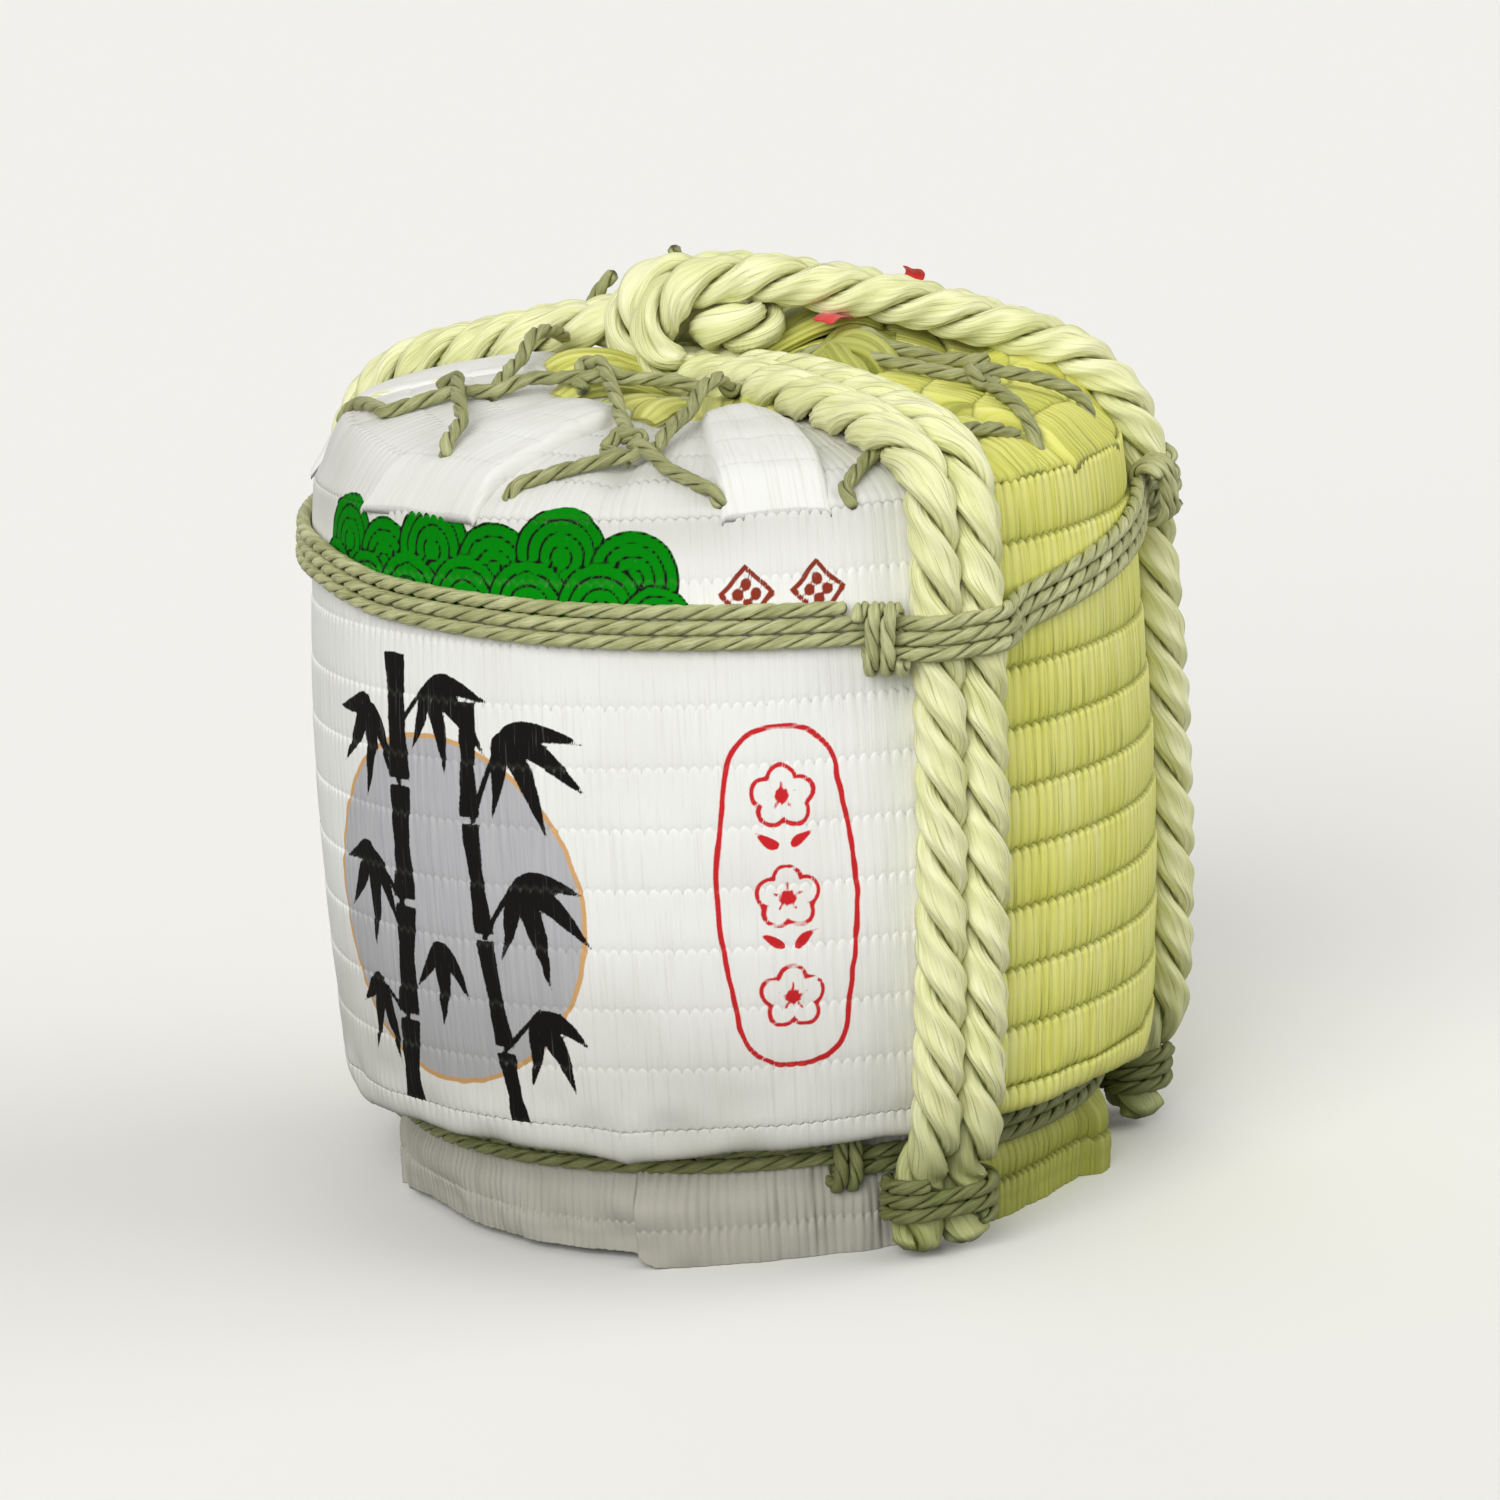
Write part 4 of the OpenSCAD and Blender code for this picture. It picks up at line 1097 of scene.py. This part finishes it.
def makeTufts():
    for i in range(tuft["count"]):
        a = i * 360 / tuft["count"] + luck.uniform(-5, 5)
        high = luck.uniform(-3, 4)
        r = tuft["from"] + luck.uniform(-6, 6)
        swing = luck.uniform(-22, 22)
        z = float(domeZ(r)) + float(surfaceLift(a, r))
        route = [
            at(a, r, z - 2),
            at(a + swing * 0.1, r * 0.84, z + 3 + high),
            at(a + swing * 0.35, r * 0.62, z + 1 + high),
            at(a + swing * 0.8, r * 0.38, z - 10 + high),
            at(a + swing * 1.4, r * 0.14, z - 24),
        ]
        halfWidth = tuft["width"] * luck.uniform(0.85, 1.15)
        halfThick = tuft["thickness"] * luck.uniform(0.85, 1.2)
        makeTuft(f"strawTuft{i + 1:02d}", route, halfWidth, halfThick, luck.uniform(-0.2, 0.2))


def makeCrown():  # the gathered ends behind the knot
    for i in range(crownTuft["count"]):
        a = crownTuft["from"] + i * crownTuft["apart"] + luck.uniform(-3, 3)
        high = float(np.interp(a, *zip(*crownTuft["heights"]))) + luck.uniform(-3, 3)
        route = [
            at(a, 136, float(domeZ(136)) + float(surfaceLift(a, 136)) - 3),
            at(a + luck.uniform(-3, 3), 121, topZ + high - 5),
            at(a + luck.uniform(-5, 5), 103, topZ + high),
            at(a + luck.uniform(-10, 10), 86, topZ + high - 14),
            at(a + luck.uniform(-24, 24), 58, topZ + 44),
        ]
        width, thickness = luck.uniform(12, 17), luck.uniform(6, 9)
        makeTuft(f"crownTuft{i + 1:02d}", route, width, thickness, luck.uniform(-0.3, 0.3), 7)


makeTufts()
makeCrown()
makeTongue("tongueUnderRope", **underRope)
print("tongues and raw straw ends laid")

# laid straw ropes

thickRope = {
    "radius": 16.5, "pitch": 94.0, "around": 44, "step": 2.6,
    "fibre": 0.5, "count": 13, "untwist": 0.8, "wide": 0.85,
}
thinRope = {
    "radius": 4.9, "pitch": 42.0, "around": 14, "step": 2.4,
    "fibre": 0.12, "count": 5, "untwist": 0.75, "wide": 0.84,
}


def laidRope(name, routes, size, material, nodes=(), turn=0.0, onFloor=False):
    allPoints, allFaces, kept, base = [], [], {"lay": [], "crevice": [], "dirt": []}, 0
    for number, route in enumerate(routes):
        line, along = smoothLine(route, size["step"])
        normal, side = lineFrame(line)
        radius = size["radius"]
        n = size["around"]
        phi = np.linspace(0, 2 * np.pi, n, endpoint=False)[None]
        wobble = 1 + 0.035 * softNoise(along / (size["pitch"] * 0.6) + 3 * number, 0.3, 2)[:, None]
        ends = np.minimum(along, along[-1] - along)
        closing = np.sqrt(np.clip(ends / (radius * 0.35), 0.15, 1))[:, None]
        for strand in (0, 1):
            theta = (-2 * np.pi * along / size["pitch"] + strand * np.pi + turn + number)[:, None]
            radial = 0.52 * radius * wobble * closing
            tangential = size["wide"] * radius * wobble * closing
            u, v = np.cos(phi), np.sin(phi)
            square = (np.abs(u) ** 2.4 + np.abs(v) ** 2.4) ** (-1 / 2.4)  # squarer than an ellipse
            # the fibres run against the lay
            twist = phi - size["untwist"] * 2 * np.pi * along[:, None] / size["pitch"]
            fine = size["fibre"] * (
                np.cos(size["count"] * twist + 1.5 * softNoise(along[:, None] / 60 + strand, twist, 3))
                + 0.6 * np.cos((2 * size["count"] + 3) * twist + strand)
            )
            pr = 0.47 * radius * closing + radial * square * u + fine * u
            pt = tangential * square * v + fine * v
            cx = pr * np.cos(theta) - pt * np.sin(theta)
            cy = pr * np.sin(theta) + pt * np.cos(theta)
            points = line[:, None] + cx[..., None] * normal[:, None] + cy[..., None] * side[:, None]
            if onFloor:
                points[..., 2] = np.maximum(points[..., 2], 0.3)
            rows = len(line)
            allFaces += list(gridFaces(rows, n, True, base))
            allFaces.append([base + k for k in range(n)][::-1])
            allFaces.append([base + (rows - 1) * n + k for k in range(n)])
            allPoints.append(points.reshape(-1, 3))
            base += rows * n
            wrap = np.stack([
                np.cos(twist) * radius * 0.8 * mm,
                np.sin(twist) * radius * 0.8 * mm,
                along[:, None] * mm + 0 * phi + strand * 3.3 + number * 7.1,
            ], -1)
            outward = np.hypot(cx, cy) / radius
            kept["lay"].append(wrap.reshape(-1, 3))
            # darker towards the floor: partly dirt, partly painted shade
            kept["dirt"].append(ease(165, 30, points[..., 2]).ravel() * 0.9)
            # painted shade in the crevices between the strands
            crevice = np.clip((0.84 - outward) / 0.34, 0, 1).ravel()
            kept["crevice"].append(crevice * np.clip(1.2 - 0.2 * u, 0, 1).repeat(rows, 0).ravel())
    values = {k: np.concatenate(v) for k, v in kept.items()}
    piece = storeMesh(name, np.concatenate(allPoints), allFaces, values, material)
    if nodes:
        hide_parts(*nodes)
    return piece


def routeAt(a, r, z, x=0.0):
    return np.array(at(a, r, z, x), float)


footRoute = [
    (56.5, 90), (51, 80), (44, 72), (38.5, 65), (35, 57), (33.5, 48), (33, 38), (33, 28), (35, 16),
    (37, 6),
]
shoulderRoute = [(23.5, -42), (20.5, -15), (15.5, 4), (7, 19)]
topRoutes = {
    "b": [(281, 32), (256, 40.5), (228, 46.5), (190, 52), (150, 56.5), (115, 59), (88, 59.5)],
    "c": [(286, 35), (262, 54), (230, 68), (180, 86), (120, 105), (80, 114)],
    "a": [(288, 35), (265, 53), (235, 66), (190, 76)],
}
knotTurn = 38.5
nearKnot = [
    (49, -8.5, 123.2), (35, -10.9, 125.1), (20, -13.4, 125.2), (-3, -17, 124.8),
    (-20, -18, 119.5), (-33, -19, 108), (-40, -19.5, 93), (-39, -20, 78), (-32, -21, 66),
    (-22, -23.5, 59), (-12, -29, 58), (-3, -38, 58), (6, -52, 58), (15, -68, 58.5),
]
farKnot = [
    (41, 24.3, 122), (14, 19.4, 124.8), (-8, 16.8, 124.8), (-26, 16.2, 124.8), (-42.7, 15.6, 120.3),
    (-54.9, 15, 108.1), (-59.4, 14.8, 91.4), (-54.9, 14.5, 74.7), (-42.7, 14, 62.5), (-26, 12, 58),
    (-8, 8, 58), (10, -2, 58), (25, -17, 58), (37, -35, 58), (47, -53, 58.5),
]
bightKnot = [
    (-120, 93, 84), (-84, 86, 88.6), (-50, 83.5, 91.4), (-20, 82.5, 91.4), (6, 76, 91.4),
    (26, 60, 89), (36, 38, 87.5), (37.5, 14, 88.5), (37.5, -4, 91.4),
    (35.2, -12.8, 91.4), (28.8, -19.2, 91.4), (20, -21.5, 91.4), (11.2, -19.2, 91.4),
    (4.8, -12.8, 91.4), (2.5, -4, 91.4), (2, 14, 91.4), (-4, 34, 91.4),
    (-18, 46.5, 91.4), (-38, 49.8, 91.4), (-62, 50, 91), (-92, 50.5, 89), (-131, 58, 85),
]
tails = [
    [(-14, 104.5, 54.2), (-15, 104.3, 75), (-18, 104, 108), (-24, 100, 139)],
    [(-100, 112, 40), (-94, 110.3, 80), (-82, 104, 106), (-68, 99, 122)],
]
pairX = thickRope["radius"] + 0.3
wallClear = 1 + thickRope["radius"] + 0.4


def legRoute(a, x, course):
    route = []
    for i in range(len(footRoute) - 1, -1, -1):
        r, z = footRoute[i]
        route.append(routeAt(lean(a, z), drum["skirtRadius"] + r, z, x * (1 + 0.15 * max(0, i - 7))))
    for f in (0.05, 0.13, 0.25, 0.37, 0.5, 0.63, 0.76, 0.84):
        z = lowZ + f * (topZ - lowZ)
        route.append(routeAt(lean(a, z), float(wallR(z)) + wallClear, z, x))
    for r, rise in shoulderRoute:
        route.append(routeAt(lean(a, topZ + rise), shoulderR + r, topZ + rise, x))
    for r, rise in topRoutes[course]:
        route.append(routeAt(lean(a, topZ), r, topZ + rise, x))
    return route


def turned(point):
    c, s = math.cos(math.radians(knotTurn)), math.sin(math.radians(knotTurn))
    return np.array((point[0] * c - point[1] * s, point[0] * s + point[1] * c, topZ + point[2]))


def wholeRope(first, knot, last):  # up one leg, through the knot and down another
    return legRoute(*first) + [turned(p) for p in knot] + legRoute(*last)[::-1]


nearRoute = wholeRope((legC, -pairX, "c"), nearKnot, (legB, -pairX, "b"))
farRoute = wholeRope((legC, pairX, "c"), farKnot, (legB, pairX, "b"))
bightRoute = wholeRope((legA, -pairX, "a"), bightKnot, (legA, pairX, "a"))
for name, route, node, turn in (
    ("ropeNear", nearRoute, "rope_near", 0.0),
    ("ropeFar", farRoute, "rope_far", 1.1),
    ("ropeBight", bightRoute, "rope_bight", 0.6),
):
    laidRope(name, [route], thickRope, thickStraw, [node], turn=turn, onFloor=True)
print("thick ropes laid and knotted")

# thin rope: waist and foot bands, hitches and whippings

band = {
    "pitch": 10.6, "waistZ": 448.0, "overRope": 33.4, "overLeg": 4.8,
    "hitchBack": 15.5, "hitchTurns": 3, "hitchGap": 0.7,
}
whipping = {"low": 26.5, "turns": 3, "gap": 1.2}
footTie = {"height": 60, "at": 49.6, "coils": 52, "from": 97.5, "drift": 2.3}
waistLift = np.array([
    (-82, 50), (-30, 34), (-14, 22), (17, 11), (45, 4), (60, 0), (76, 0), (108, 24), (138, 50),
    (180, 54), (230, 54), (278, 50),
], float)
overLegs = [(0, 0.96), (16, 1), (27, 0.93), (33, 0.75), (40, 0.45), (50, 0.2), (62, 0.05), (82, 0)]
bandB = lean(legB, band["waistZ"])
thinR = thinRope["radius"]


def legSide(a):  # sideways distance in millimetres from the nearest leg's middle
    away = [float(abs(turnBetween(a, leg))) for leg in (legA, bandB, legC)]
    return min(away) * math.radians(1) * 300


def waistHeight(a):
    w = (a + 82) % 360 - 82
    return band["waistZ"] + float(np.interp(w, waistLift[:, 0], waistLift[:, 1]))


def bandPoint(a, z):
    lift = float(np.interp(legSide(a), *zip(*overLegs)))
    return routeAt(a, float(wallR(z)) + 1.6 + thinR + 0.4 + band["overRope"] * lift, z)


def bandRun(a):
    return bandPoint(a, waistHeight(a) + band["pitch"] * ((a - 45) / 360 - 1.5))


def bandTurns(count):  # the first turn starts under hitch B and the last stops in front of it
    first, back = bandB - band["overLeg"], bandB - band["hitchBack"]
    lead = [bandRun(first) + t * (bandRun(back) - bandRun(first)) for t in (0.72, 0.5, 0.25)]
    return lead + [bandRun(a) for a in np.linspace(first, back + 360 * count + 1.4, 90 * count)]


def unit(v):
    v = np.asarray(v, float)
    return v / np.linalg.norm(v)


def roundBundle(half, radius, turn):
    c, s = math.cos(math.radians(turn)), math.sin(math.radians(turn))
    return radius * c, radius * s + (half if s > 0 else -half)


def hitchRoute(a):
    back, shift = band["hitchBack"], band["pitch"] * (((a - 45 + 360) % 360) / 360 - 0.5)
    p2 = bandPoint(a - back, waistHeight(a - back) + shift)
    p1 = bandPoint(a - 5.2, waistHeight(a - 5.2) + shift)
    d = unit(p1 - p2)
    up = unit(np.array((0, 0, 1.0)) - d[2] * d)
    out = np.cross(d, up)
    radius = 2 * thinR + band["hitchGap"]
    route = []
    for i in range(24 * band["hitchTurns"]):
        ux, uy = roundBundle(band["pitch"], radius, 7.5 + 15 * i)
        route.append(p2 + (14 + band["pitch"] * i / 24) * d + ux * out + uy * up)
    return route


def whippingRoute(a):
    route = []
    footR, footZ = zip(*footRoute[::-1])
    for i in range(24 * whipping["turns"]):
        z = whipping["low"] + band["pitch"] * i / 24
        foot = drum["skirtRadius"] + float(np.interp(z, footZ, footR))
        ux, uy = roundBundle(pairX, thickRope["radius"] + thinR + whipping["gap"], 7.5 + 15 * i)
        route.append(routeAt(lean(a, z), foot + ux, z, uy))
    return route


laidRope("waistBand", [bandTurns(3)], thinRope, waistStraw, ["waist_band"])
for label, waistLeg, footLeg in (("A", legA + 360, legA), ("B", bandB, legB), ("C", legC, legC)):
    tied, bound = f"waist_hitch_{label.lower()}", f"foot_whipping_{label.lower()}"
    laidRope(f"waistHitch{label}", [hitchRoute(waistLeg)], thinRope, waistStraw, [tied])
    laidRope(f"footWhipping{label}", [whippingRoute(footLeg)], thinRope, thinStraw, [bound])
grooveR = drum["skirtRadius"] - drum["groove"] + thinR + 0.6
footTurns = [routeAt(50 + 7.5 * i, grooveR, footTie["height"] + band["pitch"] * i / 48) for i in range(97)]
footKnot = []
for i in range(footTie["coils"]):
    ux, uy = roundBundle(band["pitch"], 2 * thinR + band["hitchGap"], footTie["from"] + 15 * i)
    place = footTie["at"] + footTie["drift"] * i / 24
    footKnot.append(routeAt(place, grooveR + ux, footTie["height"] + band["pitch"] + uy))
laidRope("footBand", [footTurns, footKnot], thinRope, thinStraw, ["foot_band"])
print("bands, hitches and whippings wound")

# lacing over the folded top

lacing = {"armRadius": 268.0, "apexRadius": 208.0}  # of the Y shapes over the rear valleys


def tongueLift(a, r):  # height of the folded tongues above the dome, at a direction and radius
    best = 0.0
    for shape in tongues.values():
        rows = np.array(shape["widths"], float)[::-1]
        away = math.radians(turnBetween(a, shape["a"]))
        if abs(away) > 1.2 or r < shape["end"]:
            continue
        x, along = r * math.sin(away), r * math.cos(away)
        half = float(np.interp(along, rows[:, 0], rows[:, 1 if x < 0 else 2]))
        u = abs(x) / half
        if u < 1.25:
            rise = shape["lift"] * float(ease(291, 262, along)) + 1.6
            best = max(best, rise * float(ease(1.25, 0.85, u)))
    return best


def onTop(a, r, extra=0.0):
    folded = topFolds(np.array([(a + 180) % 360 - 180.0]), np.array([float(r)]))
    sink = float(folded[0]) if a < 100 else 0.0
    z = float(domeZ(r)) + float(surfaceLift(a, r)) + max(tongueLift(a, r), 0.6 * sink)
    z = z + thinR + 0.6 + extra
    return routeAt(a, r, z)


def flatPath(places):  # (direction, radius, extra height), eased between
    points = [onTop(*p) for p in places]
    dense = []
    for p, q in zip(places[:-1], places[1:]):
        x0, y0 = p[1] * math.sin(math.radians(p[0])), p[1] * math.cos(math.radians(p[0]))
        x1, y1 = q[1] * math.sin(math.radians(q[0])), q[1] * math.cos(math.radians(q[0]))
        steps = max(2, round(math.hypot(x1 - x0, y1 - y0) / 12))
        for k in range(steps):
            t = k / steps
            x, y = x0 + t * (x1 - x0), y0 + t * (y1 - y0)
            e0, e1 = (p[2] if len(p) > 2 else 0), (q[2] if len(q) > 2 else 0)
            dense.append(onTop(math.degrees(math.atan2(x, y)), math.hypot(x, y), e0 + t * (e1 - e0)))
    return dense + [points[-1]]


frontLaces = [  # direction, radius, extra height where it crosses another piece
    [
        (7.0, 277, -9), (8.3, 271), (16, 247, 1), (24.5, 226, 2), (25, 214, 9), (20, 206, 8),
        (18, 216, 1), (24, 231, -1),
    ],
    [
        (39.0, 286, -9), (37.8, 281), (31, 252, 1), (25.8, 226, 7), (21.5, 205, 3), (18, 175, 3),
        (9, 137, 3), (0, 115, 5), (-7, 105, 10), (-14, 100, 12), (-20, 107, 7), (-17, 117, 1),
        (-9, 123, -2),
    ],
    [
        (27.5, 223, 2), (29.5, 190, 7), (34, 140, 9), (54, 82, 10), (92, 60, 14), (108, 72, 20),
        (118, 112, 10), (122, 164, 3), (128, 200, 2),
    ],
    [
        (-53, 270, -9), (-50, 263), (-34, 244, 1), (-31, 195, 3), (-26, 165, 2), (-20, 132, 1),
        (-10, 104, 5), (-5, 95, 14), (3, 82, 15), (16, 73, 14), (32, 70, 8),
    ],
    [(-8.5, 256, -9), (-9.5, 249, 0), (-13.5, 223, 1), (-27, 198, 9), (-34, 190, 9), (-38, 201, 1)],
    [
        (-27, 174, -3), (-32, 158, 4), (-46, 131, 8), (-63, 114, 9), (-88, 116, 6), (-104, 132, 2),
        (-112, 150, -6),
    ],
    [(56.5, 292, -8), (56, 285), (61, 264, 3), (68, 243, 2), (80, 250, 1), (87, 258), (92, 262, -7)],
]


def lacePaths():
    paths = [flatPath(lace) for lace in frontLaces]
    armR, apexR = lacing["armRadius"], lacing["apexRadius"]
    for apex, spread in valleys[2:]:
        paths.append(flatPath([
            (apex - spread - 0.8, armR + 6, -9), (apex - spread, armR), (apex - 0.3, apexR, 1),
            (apex, apexR - 24, 1), (apex - 1, 150, 2), (apex - 3, 106, 6), (apex - 8, 84, 14),
        ]))
        paths.append(flatPath([
            (apex + spread + 0.8, armR + 6, -9), (apex + spread, armR), (apex + 0.6, apexR + 2, 8),
            (apex - 2.5, apexR - 6, 9), (apex - 3.5, apexR + 3, 2), (apex + 1.5, apexR + 9, -1),
        ]))
    return paths


laidRope("headLacing", lacePaths(), thinRope, thinStraw, ["head_lacing"])
laidRope("knotTails", [[turned(p) for p in tail] for tail in tails], thinRope, thinStraw)
ringZ = float(domeZ(88)) + 3
ringPath = [routeAt(9 * i, 82 + 2 * math.sin(i * 1.7), ringZ + 2 * math.sin(i * 0.9)) for i in range(40)]
laidRope("headRing", [ringPath], thinRope, thinStraw)
print("head laced")

# packing, seen only where the mats open


def revolve(name, outline, material, nodes, ridges=90, depth=2.0):
    keys = []
    for (r0, z0), (r1, z1) in zip(outline, outline[1:] + outline[:1]):
        parts = max(1, round(math.hypot(r1 - r0, z1 - z0) / 14))
        keys += [(r0 + (r1 - r0) * k / parts, z0 + (z1 - z0) * k / parts) for k in range(parts)]
    keys = np.array(keys)
    n = ridges * 4
    phi = np.linspace(0, 2 * np.pi, n, endpoint=False)
    wave = 1 - depth / 250 * (0.5 + 0.5 * np.cos(ridges * phi))
    r = keys[:, 0][:, None] * wave[None]
    z = np.maximum(keys[:, 1][:, None] + 0 * phi[None], 0)
    points = np.stack([r * np.sin(phi), -r * np.cos(phi), z], -1).reshape(-1, 3)
    faces = gridFaces(len(keys), n, True)
    last = (len(keys) - 1) * n
    i, k = np.arange(n), (np.arange(n) + 1) % n
    closing = np.stack([last + i, last + k, k, i], -1)
    faces = np.concatenate([faces, closing])
    rising = np.broadcast_to(np.arange(len(keys))[:, None] * 0.009, r.shape)
    lay = np.stack([np.broadcast_to(phi[None] * 0.25, r.shape), rising, np.zeros(r.shape)], -1)
    values = {
        "lay": lay.reshape(-1, 3),
        # painted shade in the grooves between the ridges
        "valley": np.broadcast_to((0.5 + 0.5 * np.cos(ridges * phi))[None], r.shape).ravel() * 0.8,
        "seam": np.zeros(r.size),
        "tone": np.broadcast_to(np.repeat(luck.random(ridges), 4)[None], r.shape).ravel(),
    }
    piece = storeMesh(name, points, faces, values, material)
    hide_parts(*nodes)
    return piece


padTop = 10.0
lidTop, mouthTop = 506.0, 522.4
inDome = [(shoulderR - d, topZ + h - 11.8) for d, h in domeRise if 8 < d < 204]
packing = {
    "bottomPad": [(1, 0), (226, 0), (232, 5), (226, padTop), (1, padTop)],
    "sidePacking": [
        (241, 102), (272.8, 460), (283, 460), (288, 400), (291, 300), (290, 200), (284, 110),
        (278, 102),
    ],
    "headPad": [
        (1, lidTop), (246.5, lidTop), (246.5, mouthTop), (271, mouthTop), *inDome, (80, 549), (1, 546),
    ],
}
packingNodes = {"bottomPad": "bottom_pad", "sidePacking": "side_packing", "headPad": "head_pad"}
for label, node in packingNodes.items():
    revolve(label, packing[label], greenMat, [node])
print("packing filled in")

# the red ribbon under the rope

ribbon = {
    "slant": 40.0, "tilt": 14.0, "width": 16.0, "thickness": 0.7,
    "radius": 108.0, "lift": 90.0, "leaning": 13.0,
}
ribbonPath = [
    (-51, -5), (-46, -2.4), (-39, 0), (0, 0.2), (40, 0), (48, 0.6), (53, 4),
    (55.4, 12), (56.2, 21), (55.4, 29), (52.5, 35), (46, 38),
]


def makeRibbonCloth():
    look = Look("redRibbonCloth", 0.55)
    warp = look.noise(look.place("lay", (1, 0.05, 1)), 2600, 2)
    weft = look.noise(look.place("lay", (0.05, 1, 1)), 2600, 2)
    weaveTone = warp * 0.6 + weft * 0.4
    colour = look.blend(weaveTone.ramp(0.3, 0.75), linear(196, 22, 34), linear(226, 44, 50))
    return look.finish(colour, weaveTone.ramp(0.2, 0.8, 0.45, 0.65), weaveTone, 0.0003, Sheen_Weight=0.3)


def makeRibbon():
    line, along = smoothLine(np.array([(x, z, 0) for x, z in ribbonPath]), 1.6)
    tx, tz = np.gradient(line[:, 0]), np.gradient(line[:, 1])
    size = np.hypot(tx, tz)
    nx, nz = -tz / size, tx / size
    side = np.linspace(-ribbon["width"] / 2, ribbon["width"] / 2, 11)
    wave = 0.5 * np.cos(side * 0.55)[None] + 0.3 * softNoise(along / 14, 0.4, 1)[:, None]

    def skin(off):
        x = line[:, 0][:, None] + nx[:, None] * (off + wave)
        z = line[:, 1][:, None] + nz[:, None] * (off + wave)
        ct, st = math.cos(math.radians(ribbon["tilt"])), math.sin(math.radians(ribbon["tilt"]))
        cs, ss = math.cos(math.radians(ribbon["slant"])), math.sin(math.radians(ribbon["slant"]))
        leaning = ribbon["leaning"] * ease(10, 38, line[:, 1])[:, None]
        across, out = x * cs - side[None] * ss, x * ss + side[None] * cs + leaning
        height = topZ + ribbon["lift"] - out * st + z * ct
        return at(legC, ribbon["radius"] + out * ct + z * st, height, across)

    alongGrid, sideGrid = np.broadcast_arrays(along[:, None] * mm, side[None] * mm)
    lay = np.stack([sideGrid, alongGrid, np.zeros(sideGrid.shape)], -1)
    skins, cloth = (skin(0), skin(-ribbon["thickness"])), makeRibbonCloth()
    piece = shellMesh("redRibbon", *skins, {"lay": lay}, cloth, "red_ribbon")
    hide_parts("red_ribbon")
    length = float(np.linalg.norm(np.diff(skin(0)[:, 5], axis=0), axis=1).sum())
    print("ribbon length", round(length, 1))


makeRibbon()

print("scene finished")
